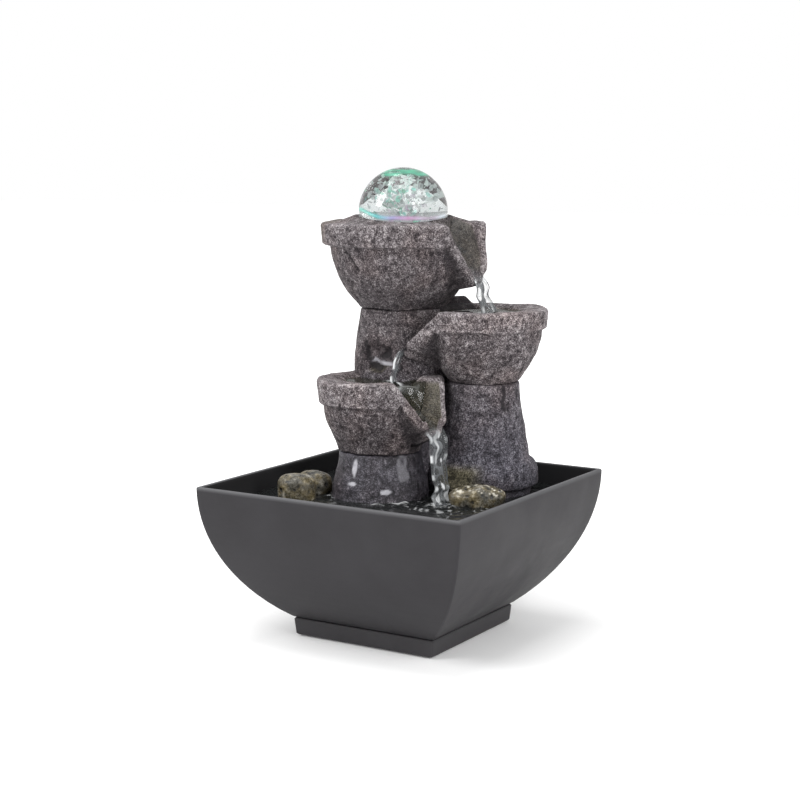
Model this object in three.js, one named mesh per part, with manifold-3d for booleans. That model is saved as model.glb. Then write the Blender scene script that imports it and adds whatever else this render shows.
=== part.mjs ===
// Tabletop water fountain: a square basin on a plinth, a three-bowl stone cascade that stands
// in it, a glass ball that turns on the top bowl's water jet, and the pump and lamp inside.
// Millimetres, +Z up, origin on the ground under the middle of the basin.

import * as THREE from 'three';
import { ConvexGeometry } from 'three/addons/geometries/ConvexGeometry.js';
import { RoundedBoxGeometry } from 'three/addons/geometries/RoundedBoxGeometry.js';
import { mergeVertices } from 'three/addons/utils/BufferGeometryUtils.js';
import Module from 'manifold-3d';

const wasm = await Module();
wasm.setup();

// ---- driving dimensions -------------------------------------------------------------------

const GAP = 0.3;                 // clearance between pieces that touch
const DEG = Math.PI / 180;

// basin and plinth
const BASIN_SIDE = 195;          // square rim, outside
const BASIN_WALL = 3;
const BASIN_DEPTH = 89.4;        // from the underside of the floor to the rim
const BASIN_FOOT = 105.9;        // square where the walls meet the floor, outside
const PLINTH_HEIGHT = 12;
const PLINTH_WALL = 2.5;
const PLINTH_DRAFT = 0.9;        // how far each side leans in towards the ground
const FOOT_RADIUS = 6;
const FOOT_PROUD = 1;            // how far the rubber feet stand out below the plinth
const FOOT_SUNK = 1;
const FOOT_INSET = 11;           // from a side of the plinth to a foot's middle
const GROMMET_BORE = 5.2;
const GROMMET_DROP = 7;          // below the rim

// stone insert that stands in the basin and carries the cascade
const DECK_BELOW_RIM = 17.4;
const DECK_THICK = 5;
const INSERT_WALL = 4;
const WATER_SLOT = 5.5;          // water gap between the insert and the basin wall
const INLET_WIDTH = 22;
const INLET_HEIGHT = 7;
const DRAIN_RADIUS = 4;

// cascade: each bowl's axis, its rim above the basin's rim, and which way its spout faces
const TALL = { x: -26.5, y: 41.5, rise: 165.6, rimR: 55.5, heading: 2 };
const MIDDLE = { x: 30.6, y: 50.4, rise: 109.6, rimR: 43.5, heading: 224 };
const LOW = { x: -20.5, y: 2.5, rise: 64.9, rimR: 42, heading: -8 };
const TALL_BOWL_HEIGHT = 56.7;
const MIDDLE_BOWL_HEIGHT = 48;
const LOW_BOWL_HEIGHT = 47.3;
const CAVE_EXTRA = 11;           // how much wider the riser's hole is where it opens below

// glass ball, its seat and the lamp under it
const BALL_RADIUS = 30;
const BALL_ABOVE_RIM = 6.4;      // ball's middle above the top bowl's rim
const SEAT_WALL = 3;
const SEAT_LIP = 12.4;           // top of the seat below the ball's middle
const JET_RADIUS = 18;           // bore that the water rises through
const LAMP_RADIUS = 12;
const LAMP_HEIGHT = 10;
const LEAD_RADIUS = 1.5;
const TUBE_RADIUS = 6;
const TUBE_WALL = 2;

// pump: the rotor's axis runs along X, and the intake faces -X
const PUMP = { x: -18, y: 22 };  // outlet
const PUMP_LENGTH = 36;
const PUMP_WIDTH = 32;
const PUMP_HEIGHT = 38;
const CUP_HEIGHT = 4;
const ROTOR_RADIUS = 6.9;
const ROTOR_LENGTH = 20;
const IMPELLER_RADIUS = 10.5;
const VOLUTE_DEPTH = 12;
const STRAINER_DEPTH = 8;
const SHAFT_RADIUS = 1;
const DIAL_RADIUS = 7;

// ---- places worked out from them ----------------------------------------------------------

const plinthTop = FOOT_PROUD + PLINTH_HEIGHT;
const rimZ = plinthTop + BASIN_DEPTH;
const floorZ = plinthTop + BASIN_WALL;
const wallLean = (BASIN_SIDE - BASIN_FOOT) / 2;
const wallArcRadius = (wallLean * wallLean + BASIN_DEPTH * BASIN_DEPTH) / (2 * wallLean);
const arcCentre = BASIN_SIDE / 2 - wallArcRadius;
const deckZ = rimZ - DECK_BELOW_RIM;
const tall = { ...TALL, rimZ: rimZ + TALL.rise };
const middle = { ...MIDDLE, rimZ: rimZ + MIDDLE.rise };
const low = { ...LOW, rimZ: rimZ + LOW.rise };
const ballZ = tall.rimZ + BALL_ABOVE_RIM;
const socketRadius = BALL_RADIUS + 1.3;
const seatTopZ = ballZ - SEAT_LIP;
const seatFloorZ = tall.rimZ - 44;
const seatFloor = 3;
const pumpBottom = floorZ + GAP + CUP_HEIGHT + GAP;
const rotorZ = pumpBottom + PUMP_HEIGHT - 13;
const voluteX = PUMP.x + VOLUTE_DEPTH / 2;    // face where the volute meets the pump body
const bodyX = voluteX + GAP;
const voluteFront = voluteX - VOLUTE_DEPTH;
const leadX = tall.x - TUBE_RADIUS - LEAD_RADIUS - 0.5;    // beside the riser tube
const riserBore = TUBE_RADIUS + 2 * LEAD_RADIUS + 2;       // hole up through the tall pillar
const caveRadius = riserBore + CAVE_EXTRA;

// half-width of the basin's wall at a height, on an arc centred level with the rim; inset 0 is
// the outside
function wallAt(z, inset = 0) {
  const radius = wallArcRadius - inset;
  return arcCentre + Math.sqrt(radius * radius - (rimZ - z) * (rimZ - z));
}

// ---- materials ----------------------------------------------------------------------------

const finishes = {
  basinPlastic: [0x4b4b4d, 0.55, 0],
  plinthPlastic: [0x464448, 0.6, 0],
  blackRubber: [0x1c1c1e, 0.9, 0],
  stone: [0x5f555a, 0.85, 0],
  rock: [0x6e644b, 0.8, 0],
  glass: [0xcfe8e4, 0.05, 0],
  clearPlastic: [0xd8dde0, 0.2, 0],
  lampPlastic: [0x2b2b2e, 0.5, 0],
  board: [0xe8e8e2, 0.6, 0],
  emitter: [0xf6f0c0, 0.4, 0],
  pumpPlastic: [0x202224, 0.5, 0],
  potting: [0x151515, 0.7, 0],
  steel: [0x8d9093, 0.4, 0.8],
  copper: [0xa85f32, 0.4, 0.8],
  ferrite: [0x35353a, 0.6, 0.2],
  ceramic: [0xe9e6dd, 0.3, 0],
  whitePlastic: [0xd9d9d4, 0.5, 0],
  vinyl: [0xb9c4c8, 0.3, 0],
};

const fountain = new THREE.Group();

function add(name, geometry, finish) {
  const [color, roughness, metalness] = finishes[finish];
  const material = new THREE.MeshStandardMaterial({ color, roughness, metalness });
  const mesh = new THREE.Mesh(geometry, material);
  mesh.name = name;
  fountain.add(mesh);
  return mesh;
}

// ---- solids -------------------------------------------------------------------------------

// keep only positions, weld them, drop the flat triangles at poles and face outwards
function welded(geometry) {
  const bare = geometry.clone();
  bare.deleteAttribute('normal');
  bare.deleteAttribute('uv');
  const merged = mergeVertices(bare, 1e-4);
  const position = merged.getAttribute('position');
  const index = merged.getIndex().array;
  const kept = [];
  const [a, b, c] = [new THREE.Vector3(), new THREE.Vector3(), new THREE.Vector3()];
  let volume = 0;
  for (let i = 0; i < index.length; i += 3) {
    const [p, q, r] = [index[i], index[i + 1], index[i + 2]];
    if (p === q || q === r || r === p) continue;
    kept.push(p, q, r);
    a.fromBufferAttribute(position, p);
    b.fromBufferAttribute(position, q);
    c.fromBufferAttribute(position, r);
    volume += a.dot(b.cross(c));
  }
  if (volume < 0) kept.reverse();
  merged.setIndex(kept);
  return merged;
}

function toManifold(geometry) {
  const source = welded(geometry);
  return new wasm.Manifold(new wasm.Mesh({
    numProp: 3,
    vertProperties: new Float32Array(source.getAttribute('position').array),
    triVerts: new Uint32Array(source.getIndex().array),
  }));
}

function fromManifold(solid) {
  const mesh = solid.getMesh();
  const geometry = new THREE.BufferGeometry();
  geometry.setAttribute('position', new THREE.BufferAttribute(mesh.vertProperties, 3));
  geometry.setIndex(new THREE.BufferAttribute(mesh.triVerts, 1));
  return geometry;
}

// the first geometry with the others joined to it
function joined(first, ...others) {
  return fromManifold(others.reduce((sum, item) => sum.add(toManifold(item)), toManifold(first)));
}

// the first geometry with the others cut away
function cut(first, ...others) {
  return fromManifold(
    others.reduce((rest, item) => rest.subtract(toManifold(item)), toManifold(first)));
}

// a profile of [radius, height] points turned about the vertical line through x, y
function turned(profile, x = 0, y = 0, segments = 28) {
  const points = profile.map(([radius, height]) => new THREE.Vector2(radius, height));
  const geometry = new THREE.LatheGeometry(points, segments);
  return welded(geometry.rotateX(90 * DEG).translate(x, y, 0));
}

// a profile of [half-width, height] points carried round a square
function squared(profile) {
  const points = profile.map(([half, height]) => new THREE.Vector2(half * Math.SQRT2, height));
  const geometry = new THREE.LatheGeometry(points, 4);
  return welded(geometry.rotateX(90 * DEG).rotateZ(45 * DEG));
}

// a turned profile whose axis lies along X
function turnedAlongX(profile, y, z, segments = 18) {
  const points = profile.map(([radius, along]) => new THREE.Vector2(radius, along));
  const geometry = new THREE.LatheGeometry(points, segments);
  return welded(geometry.rotateZ(-90 * DEG).translate(0, y, z));
}

function disc(radius, bottom, top, x = 0, y = 0, segments = 18) {
  return turned([[0, bottom], [radius, bottom], [radius, top], [0, top]], x, y, segments);
}

function ring(outer, inner, bottom, top, x = 0, y = 0, segments = 32) {
  const profile = [[inner, bottom], [outer, bottom], [outer, top], [inner, top], [inner, bottom]];
  return turned(profile, x, y, segments);
}

function block(from, to) {
  const size = to.map((value, axis) => value - from[axis]);
  const centre = to.map((value, axis) => (value + from[axis]) / 2);
  return new THREE.BoxGeometry(...size).translate(...centre);
}

function blob(radii, centre) {
  return new THREE.SphereGeometry(1, 12, 8).scale(...radii).translate(...centre);
}

// ---- basin, plinth and feet ---------------------------------------------------------------

const WALL_STEPS = 9;

function wallArc(inset, lowest) {
  return Array.from({ length: WALL_STEPS + 1 }, (_, i) => {
    const z = lowest + (rimZ - lowest) * (i / WALL_STEPS);
    return [wallAt(z, inset), z];
  });
}

const grommetZ = rimZ - GROMMET_DROP;
const grommetX = -20;

function grommetHole(radius) {
  const hole = new THREE.CylinderGeometry(radius, radius, 30, 20);
  return hole.translate(grommetX, BASIN_SIDE / 2, grommetZ);
}

function basin() {
  const outside = wallArc(0, plinthTop);
  const inside = wallArc(BASIN_WALL, floorZ).reverse();
  const shell = squared([[0, plinthTop], ...outside, ...inside, [0, floorZ]]);
  return cut(shell, grommetHole(GROMMET_BORE));
}

const plinthHalfTop = wallAt(plinthTop);
const plinthHalfBottom = plinthHalfTop - PLINTH_DRAFT;
const footOffset = plinthHalfBottom - FOOT_INSET;
const corners = [[1, -1], [-1, -1], [1, 1], [-1, 1]];

function plinth() {
  const top = plinthTop - GAP;
  const tray = squared([
    [0, FOOT_PROUD],
    [plinthHalfBottom, FOOT_PROUD],
    [plinthHalfTop, top],
    [plinthHalfTop - PLINTH_WALL, top],
    [plinthHalfBottom - PLINTH_WALL, FOOT_PROUD + PLINTH_WALL],
    [0, FOOT_PROUD + PLINTH_WALL],
  ]);
  const recesses = corners.map(([sx, sy]) => disc(
    FOOT_RADIUS + GAP, FOOT_PROUD - 1, FOOT_PROUD + FOOT_SUNK, sx * footOffset, sy * footOffset));
  return cut(tray, ...recesses);
}

function foot(sx, sy) {
  const top = FOOT_PROUD + FOOT_SUNK - GAP;
  return disc(FOOT_RADIUS, 0, top, sx * footOffset, sy * footOffset);
}

// a rubber spool that fills the hole in the rear wall and lines it
function grommet() {
  const wallInside = wallAt(grommetZ, BASIN_WALL);
  const wallOutside = wallAt(grommetZ);
  const neck = GROMMET_BORE - GAP;
  const flange = GROMMET_BORE + 1.8;
  const bore = GROMMET_BORE - 2.2;
  const slack = GAP + 0.1 * flange;      // the wall leans within the flange's height
  const profile = [
    [bore, wallInside - slack - 1.6],
    [flange, wallInside - slack - 1.6],
    [flange, wallInside - slack],
    [neck, wallInside - slack],
    [neck, wallOutside + slack],
    [flange, wallOutside + slack],
    [flange, wallOutside + slack + 1.4],
    [bore, wallOutside + slack + 1.4],
    [bore, wallInside - slack - 1.6],
  ];
  const points = profile.map(([radius, along]) => new THREE.Vector2(radius, along));
  return welded(new THREE.LatheGeometry(points, 20).translate(grommetX, 0, grommetZ));
}

add('basin', basin(), 'basinPlastic');
add('plinth', plinth(), 'plinthPlastic');
const footNames = ['foot_front_right', 'foot_front_left', 'foot_rear_right', 'foot_rear_left'];
corners.forEach(([sx, sy], i) => add(footNames[i], foot(sx, sy), 'blackRubber'));
add('cord_grommet', grommet(), 'blackRubber');

// ---- stone insert -------------------------------------------------------------------------

const insertBottom = floorZ + GAP;

function insertArc(inset, lowest, highest) {
  return Array.from({ length: 7 }, (_, i) => {
    const z = lowest + (highest - lowest) * (i / 6);
    return [wallAt(z, BASIN_WALL) - WATER_SLOT - inset, z];
  });
}

function sculptureBase() {
  const outside = insertArc(0, insertBottom, deckZ);
  const inside = insertArc(INSERT_WALL, insertBottom, deckZ - DECK_THICK).reverse();
  const shell = squared([[0, deckZ - DECK_THICK], ...inside, ...outside, [0, deckZ]]);
  const reach = BASIN_SIDE;
  const half = INLET_WIDTH / 2;
  const inletTop = insertBottom + INLET_HEIGHT;
  const inlets = [
    block([-reach, -half, insertBottom - 1], [reach, half, inletTop]),
    block([-half, -reach, insertBottom - 1], [half, reach, inletTop]),
  ];
  const riserHole = disc(caveRadius, deckZ - 2 * DECK_THICK, deckZ + 1,
    tall.x + (PUMP.x - tall.x) * 0.4, tall.y + (PUMP.y - tall.y) * 0.4, 24);
  const edge = wallAt(deckZ, BASIN_WALL) - WATER_SLOT - 4 * DRAIN_RADIUS;
  const drainPlaces = [[-60, -edge], [0, -edge], [60, -edge], [edge, -20], [-edge, 10], [-edge, 70]];
  const drains = drainPlaces.map(([x, y]) => disc(
    DRAIN_RADIUS, deckZ - 2 * DECK_THICK, deckZ + 1, x, y, 16));
  return cut(shell, ...inlets, riserHole, ...drains);
}

add('sculpture_base', sculptureBase(), 'stone');

// ---- pillars ------------------------------------------------------------------------------

const standZ = deckZ + GAP;
const tallTop = tall.rimZ - TALL_BOWL_HEIGHT - GAP;
const middleTop = middle.rimZ - MIDDLE_BOWL_HEIGHT - GAP;
const lowTop = low.rimZ - LOW_BOWL_HEIGHT - GAP;

// tall pillar with the rock ledge under the middle bowl's spout, grown by extra all round
function tallPillarMass(extra = 0) {
  const height = tallTop - standZ;
  const profile = [
    [0, standZ - extra],
    [36 + extra, standZ - extra],
    [34 + extra, standZ + height * 0.35],
    [33.2 + extra, standZ + height * 0.6],
    [33 + extra, standZ + height * 0.72],
    [31.5 + extra, standZ + height * 0.83],
    [29.5 + extra, standZ + height * 0.93],
    [28.6 + extra, tallTop + extra],
    [0, tallTop + extra],
  ];
  const ledge = blob([12 + extra, 11 + extra, 12 + extra], [-4, 23, low.rimZ + 7]);
  return joined(turned(profile, tall.x, tall.y), ledge);
}

function riserWay() {
  const caveTop = standZ + 42;
  return turned([
    [0, standZ - 5],
    [caveRadius, standZ - 5],
    [caveRadius, standZ + 12],
    [riserBore, caveTop],
    [riserBore, tallTop + 5],
    [0, tallTop + 5],
  ], tall.x, tall.y, 24);
}

function tallPillar() {
  const grotto = blob([11, 12, 11], [-28, 12, low.rimZ + 5]);
  return cut(tallPillarMass(), riserWay(), grotto);
}

function middlePillar() {
  const height = middleTop - standZ;
  const ringTop = standZ + height * 0.32;
  const ringBottom = standZ + height * 0.12;
  const outside = turned([
    [0, standZ],
    [33, standZ],
    [33, ringBottom - 2],
    [37.5, ringBottom],
    [37.2, ringTop - 5],
    [34.5, ringTop],
    [31.2, ringTop + 2],
    [28.5, standZ + height * 0.58],
    [26, standZ + height * 0.78],
    [24, middleTop],
    [0, middleTop],
  ], middle.x, middle.y);
  const core = turned([
    [0, standZ - 5],
    [20, standZ - 5],
    [16, middleTop - 20],
    [0, middleTop - 12],
  ], middle.x, middle.y, 24);
  return cut(outside, core, tallPillarMass(GAP));
}

function lowPillar() {
  const height = lowTop - standZ;
  const outside = turned([
    [0, standZ],
    [33.5, standZ],
    [33, standZ + height * 0.1],
    [31.6, standZ + height * 0.38],
    [29.6, standZ + height * 0.58],
    [28.2, standZ + height * 0.78],
    [27.2, lowTop],
    [0, lowTop],
  ], low.x, low.y);
  return cut(outside, tallPillarMass(GAP));
}

add('tall_pillar', tallPillar(), 'stone');
add('middle_pillar', middlePillar(), 'stone');
add('low_pillar', lowPillar(), 'stone');

// ---- bowls --------------------------------------------------------------------------------

// rim band, a small step in under it, then a rounded belly down to the foot
function bowlOutline(bowl, shape, extra = 0) {
  const top = bowl.rimZ + extra;
  const bandBottom = bowl.rimZ - shape.band;
  const bottom = bowl.rimZ - shape.height - extra;
  const bellyTop = bandBottom - 1.5;
  const belly = Array.from({ length: 8 }, (_, i) => {
    const u = 1 - i / 7;
    const swell = Math.sin(u * 90 * DEG) ** shape.fullness;
    return [shape.footR + (shape.bellyR - shape.footR) * swell + extra,
      bottom + (bellyTop - bottom) * u];
  });
  return turned([
    [0, top],
    [bowl.rimR - 1 + extra, top],
    [bowl.rimR + extra, top - 1.5],
    [bowl.rimR - 1.3 + extra, bandBottom],
    ...belly,
    [0, bottom],
  ], bowl.x, bowl.y, 32);
}

// a hull of [outwards, sideways, height] points mirrored to both sides of the bowl's spout
function spoutHull(bowl, points) {
  const both = points.flatMap(([u, v, z]) => [
    new THREE.Vector3(u, v, z),
    new THREE.Vector3(u, -v, z),
  ]);
  return new ConvexGeometry(both).rotateZ(bowl.heading * DEG).translate(bowl.x, bowl.y, 0);
}

// the rim is notched where crestU meets it, and the crests run down to the lip
function spoutShape(bowl, spout) {
  const notch = Math.sqrt(bowl.rimR ** 2 - spout.crestU ** 2);
  const inner = notch - spout.wall;
  const crestZ = spout.lipZ + spout.lipDepth;
  const slope = (bowl.rimZ - crestZ) / (spout.reach - spout.crestU);
  const over = 12;
  const lipOuter = spout.lipHalf + spout.wall;
  const body = spoutHull(bowl, [
    [spout.reach, lipOuter, crestZ],
    [spout.reach - 1, lipOuter - 3, spout.lipZ - spout.floor],
    [spout.crestU, notch, bowl.rimZ],
    [spout.crestU, notch - 1, bowl.rimZ - spout.band],
    [spout.crestU - 16, spout.lipHalf, spout.lipZ - spout.floor - 5],
    [spout.crestU - 16, inner, bowl.rimZ],
  ]);
  const crestCut = spoutHull(bowl, [
    [spout.crestU, notch + 1, bowl.rimZ],
    [spout.crestU, notch + 1, bowl.rimZ + over],
    [spout.reach + over, notch + 1, bowl.rimZ + over],
    [spout.reach + over, notch + 1, bowl.rimZ - slope * (spout.reach + over - spout.crestU)],
  ]);
  const channel = spoutHull(bowl, [
    [spout.startU, spout.startHalf, spout.startZ],
    [spout.startU, spout.startHalf + 6, bowl.rimZ + over],
    [spout.crestU, inner, bowl.rimZ],
    [spout.crestU, inner, bowl.rimZ + over],
    [spout.reach + 4, spout.lipHalf - 2, spout.lipZ - 4 * slope * 0.5],
    [spout.reach + 4, spout.lipHalf + 1, crestZ + 2],
    [spout.reach + 4, spout.lipHalf + 1, bowl.rimZ + over],
  ]);
  return { body, crestCut, channel };
}

const tallShape = {
  height: TALL_BOWL_HEIGHT, band: 14, bellyR: 49, footR: 28.8, fullness: 0.9,
};
const middleShape = {
  height: MIDDLE_BOWL_HEIGHT, band: 12.5, bellyR: 39.2, footR: 23.5, fullness: 0.95,
};
const lowShape = {
  height: LOW_BOWL_HEIGHT, band: 15, bellyR: 39.8, footR: 27.3, fullness: 1.3,
};

const tallSpout = spoutShape(tall, {
  crestU: 48, reach: 57, lipZ: tall.rimZ - 36.5, lipDepth: 8, lipHalf: 7, wall: 5, floor: 4,
  band: 14, startU: 30, startHalf: 9, startZ: seatTopZ + 0.5,
});
const middleSpout = spoutShape(middle, {
  crestU: 37, reach: 54, lipZ: middle.rimZ - 27, lipDepth: 7, lipHalf: 6, wall: 5, floor: 4,
  band: 12, startU: 14, startHalf: 9, startZ: middle.rimZ - 8,
});
const lowSpout = spoutShape(low, {
  crestU: 34, reach: 47, lipZ: low.rimZ - 31, lipDepth: 7, lipHalf: 6, wall: 5, floor: 4,
  band: 15, startU: 12, startHalf: 9, startZ: low.rimZ - 9,
});

function pool(bowl, radius, depth) {
  return turned([
    [0, bowl.rimZ - depth],
    [radius * 0.6, bowl.rimZ - depth],
    [radius * 0.9, bowl.rimZ - depth * 0.55],
    [radius, bowl.rimZ],
    [radius, bowl.rimZ + 4],
    [0, bowl.rimZ + 4],
  ], bowl.x, bowl.y, 28);
}

function topBowl() {
  const collarTop = tall.rimZ + 3;
  const collar = ring(socketRadius + 1.5, socketRadius - 3, tall.rimZ - 5, collarTop,
    tall.x, tall.y, 28);
  const slope = turned([
    [0, tall.rimZ - 5],
    [46, tall.rimZ - 5],
    [46, tall.rimZ - 0.2],
    [socketRadius + 1.5, collarTop],
    [0, collarTop],
  ], tall.x, tall.y, 28);
  const mass = joined(bowlOutline(tall, tallShape), collar, slope, tallSpout.body);
  const socket = disc(socketRadius, seatFloorZ - GAP, collarTop + 5, tall.x, tall.y, 28);
  const way = disc(riserBore, tallTop - 5, seatFloorZ + 5, tall.x, tall.y, 24);
  return cut(mass, tallSpout.crestCut, tallSpout.channel, socket, way);
}

function middleBowl() {
  const mass = joined(bowlOutline(middle, middleShape), middleSpout.body);
  return cut(mass, middleSpout.crestCut, middleSpout.channel, pool(middle, 30, 14),
    tallPillarMass(GAP), bowlOutline(tall, tallShape, GAP));
}

function lowBowl() {
  const mass = joined(bowlOutline(low, lowShape), lowSpout.body);
  return cut(mass, lowSpout.crestCut, lowSpout.channel, pool(low, 29, 14), tallPillarMass(GAP));
}

add('top_bowl', topBowl(), 'stone');
add('middle_bowl', middleBowl(), 'stone');
add('low_bowl', lowBowl(), 'stone');

// ---- loose-looking rocks that stand on the insert ------------------------------------------

// a flat-bottomed lump: a sphere pushed in and out by slow waves, then squashed
function rock(x, y, width, depth, height, turn, phase) {
  const geometry = new THREE.SphereGeometry(1, 12, 8);
  const position = geometry.getAttribute('position');
  for (let i = 0; i < position.count; i += 1) {
    const [px, py, pz] = [position.getX(i), position.getY(i), position.getZ(i)];
    const wave = 1 + 0.07 * Math.sin(3 * px + phase) * Math.cos(4 * py - phase)
      + 0.05 * Math.sin(5 * pz + 2 * phase);
    position.setXYZ(i, px * wave, py * wave, Math.max(pz * wave, -0.35));
  }
  geometry.scale(width / 2, depth / 2, height / 1.35);
  geometry.rotateZ(turn * DEG);
  geometry.computeBoundingBox();
  return welded(geometry.translate(x, y, standZ - geometry.boundingBox.min.z));
}

add('left_rock', rock(-59, -39, 25, 22, 20, 30, 0.4), 'rock');
add('rear_rock', rock(-63, -12, 24, 20, 17, -20, 1.9), 'rock');
add('front_rock', rock(53, 5, 37, 18, 18, 32, 3.1), 'rock');
add('small_rock', rock(75, 72, 13, 11, 6, 10, 4.4), 'rock');

// ---- ball, seat and lamp ------------------------------------------------------------------

function ballSeat() {
  const bowlR = BALL_RADIUS + 0.35;
  const outer = socketRadius - GAP;
  const seatMouth = Math.sqrt(bowlR * bowlR - SEAT_LIP * SEAT_LIP) - 0.7;
  const onBall = (radius) => ballZ - Math.sqrt(bowlR * bowlR - radius * radius);
  const seat = Array.from({ length: 6 }, (_, i) => {
    const radius = seatMouth - (seatMouth - JET_RADIUS) * (i / 5);
    return [radius, onBall(radius)];
  });
  const stub = TUBE_RADIUS - TUBE_WALL - GAP;
  const stubBottom = seatFloorZ - 10;
  const cup = turned([
    [stub - 1.5, stubBottom],
    [stub, stubBottom],
    [stub, seatFloorZ],
    [outer, seatFloorZ],
    [outer, seatTopZ],
    [outer - SEAT_WALL, seatTopZ],
    ...seat,
    [JET_RADIUS, seatFloorZ + seatFloor],
    [stub - 1.5, seatFloorZ + seatFloor],
    [stub - 1.5, stubBottom],
  ], tall.x, tall.y, 28);
  const leadHole = disc(LEAD_RADIUS + GAP, seatFloorZ - 2, seatFloorZ + seatFloor + 2,
    leadX, tall.y, 12);
  return cut(cup, leadHole);
}

const lampLift = 3;              // feet that let water spread under the lamp
const lampZ = seatFloorZ + seatFloor + GAP + lampLift;
const lampWall = 1.4;
const lampTop = lampZ + LAMP_HEIGHT;

function lampHousing() {
  const cup = turned([
    [0, lampZ],
    [LAMP_RADIUS, lampZ],
    [LAMP_RADIUS, lampTop],
    [LAMP_RADIUS - lampWall, lampTop],
    [LAMP_RADIUS - lampWall, lampZ + lampWall],
    [0, lampZ + lampWall],
  ], tall.x, tall.y, 24);
  const legReach = LAMP_RADIUS - 2.5;
  const legs = [60, 120, 300].map((angle) => disc(
    1.6, lampZ - lampLift, lampZ + 0.7,
    tall.x + legReach * Math.cos(angle * DEG), tall.y + legReach * Math.sin(angle * DEG), 12));
  const leadHole = disc(LEAD_RADIUS + GAP, lampZ - 2, lampZ + lampWall + 1, leadX, tall.y, 12);
  return cut(joined(cup, ...legs), leadHole);
}

const boardZ = lampZ + lampWall + 2.4;
const boardRadius = LAMP_RADIUS - lampWall - GAP;
const sealZ = lampTop - 3.6;

function lampLens() {
  const inner = LAMP_RADIUS - lampWall - GAP;
  return turned([
    [0, lampTop - 2],
    [inner, lampTop - 2],
    [inner, lampTop + GAP],
    [LAMP_RADIUS, lampTop + GAP],
    [LAMP_RADIUS, lampTop + 1.3],
    [LAMP_RADIUS * 0.6, lampTop + 2.4],
    [0, lampTop + 2.8],
  ], tall.x, tall.y, 24);
}

add('crystal_ball',
  new THREE.SphereGeometry(BALL_RADIUS, 24, 14).rotateX(90 * DEG).translate(tall.x, tall.y, ballZ),
  'glass');
add('ball_seat', ballSeat(), 'clearPlastic');
add('lamp_housing', lampHousing(), 'lampPlastic');
add('lamp_board', disc(boardRadius, boardZ, boardZ + 1.2, tall.x, tall.y, 28), 'board');
add('lamp_emitter', disc(3, boardZ + 1.2 + GAP, boardZ + 3, tall.x, tall.y, 20), 'emitter');
add('lamp_seal_ring',
  ring(boardRadius, boardRadius - 1.6, sealZ, sealZ + 1.3, tall.x, tall.y, 28), 'blackRubber');
add('lamp_lens', lampLens(), 'clearPlastic');

// ---- riser tube and lamp lead --------------------------------------------------------------

function roundSection(outer, inner, sides) {
  const shape = new THREE.Shape();
  shape.absarc(0, 0, outer, 0, 360 * DEG, false);
  if (inner > 0) {
    const hole = new THREE.Path();
    hole.absarc(0, 0, inner, 0, 360 * DEG, true);
    shape.holes.push(hole);
  }
  return { shape, curveSegments: sides };
}

function along(points, steps, section) {
  const path = new THREE.CatmullRomCurve3(points.map((p) => new THREE.Vector3(...p)));
  return welded(new THREE.ExtrudeGeometry(section.shape, {
    extrudePath: path, steps, curveSegments: section.curveSegments,
  }));
}

const spigotTop = pumpBottom + PUMP_HEIGHT + 10;
const tubeBottom = pumpBottom + PUMP_HEIGHT + 2;

// straight down the pillar, then one slack S over to the pump's spigot
function riserTube() {
  const share = (part, z) => [
    tall.x + (PUMP.x - tall.x) * part,
    tall.y + (PUMP.y - tall.y) * part,
    z,
  ];
  return along([
    share(0, seatFloorZ - GAP - 0.5),
    share(0, seatFloorZ - 30),
    share(0, (seatFloorZ + deckZ) / 2),
    share(0, deckZ + 46),
    share(0.1, deckZ + 27),
    share(0.5, deckZ + 6),
    share(0.9, spigotTop + 9),
    share(1, spigotTop + 2),
    share(1, (spigotTop + tubeBottom) / 2),
    share(1, tubeBottom),
  ], 24, roundSection(TUBE_RADIUS, TUBE_RADIUS - TUBE_WALL, 6));
}

const plugPlace = [-58, 48, deckZ - 26];

function lampLead() {
  return along([
    [leadX, tall.y, lampZ + lampWall + 1],
    [leadX, tall.y, seatFloorZ - 4],
    [leadX, tall.y, (seatFloorZ + deckZ) / 2],
    [leadX, tall.y, deckZ + 34],
    [leadX, tall.y - 1, deckZ + 12],
    [leadX - 1, tall.y - 2, deckZ - 3],
    [plugPlace[0], plugPlace[1], plugPlace[2] + 9],
    [plugPlace[0], plugPlace[1], plugPlace[2] + GAP],
  ], 30, roundSection(LEAD_RADIUS, 0, 4));
}

function leadPlug() {
  const [x, y, z] = plugPlace;
  return turned([[0, z - 16], [3.6, z - 16], [3.6, z - 6], [3, z - 5], [2.4, z], [0, z]], x, y, 16);
}

add('riser_tube', riserTube(), 'vinyl');
add('lamp_lead', lampLead(), 'blackRubber');
add('lamp_lead_plug', leadPlug(), 'blackRubber');

// ---- pump ---------------------------------------------------------------------------------

const pumpBack = bodyX + PUMP_LENGTH;
const pumpLeft = PUMP.y - PUMP_WIDTH / 2;
const pumpRight = PUMP.y + PUMP_WIDTH / 2;
const pumpTop = pumpBottom + PUMP_HEIGHT;
const wellRadius = ROTOR_RADIUS + 0.7;
const wellDepth = ROTOR_LENGTH + 5;
const casing = 2;

// a rounded box between two X faces, as wide and high as the pump
function pumpBox(lowX, highX, shrink = 0) {
  const width = PUMP_WIDTH - 2 * shrink;
  const height = PUMP_HEIGHT - 2 * shrink;
  const box = new RoundedBoxGeometry(highX - lowX, width, height, 1, 2.5);
  return box.translate((lowX + highX) / 2, PUMP.y, pumpBottom + PUMP_HEIGHT / 2);
}

function rotorAxisSolid(profile, segments = 18) {
  return turnedAlongX(profile, PUMP.y, rotorZ, segments);
}

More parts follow.
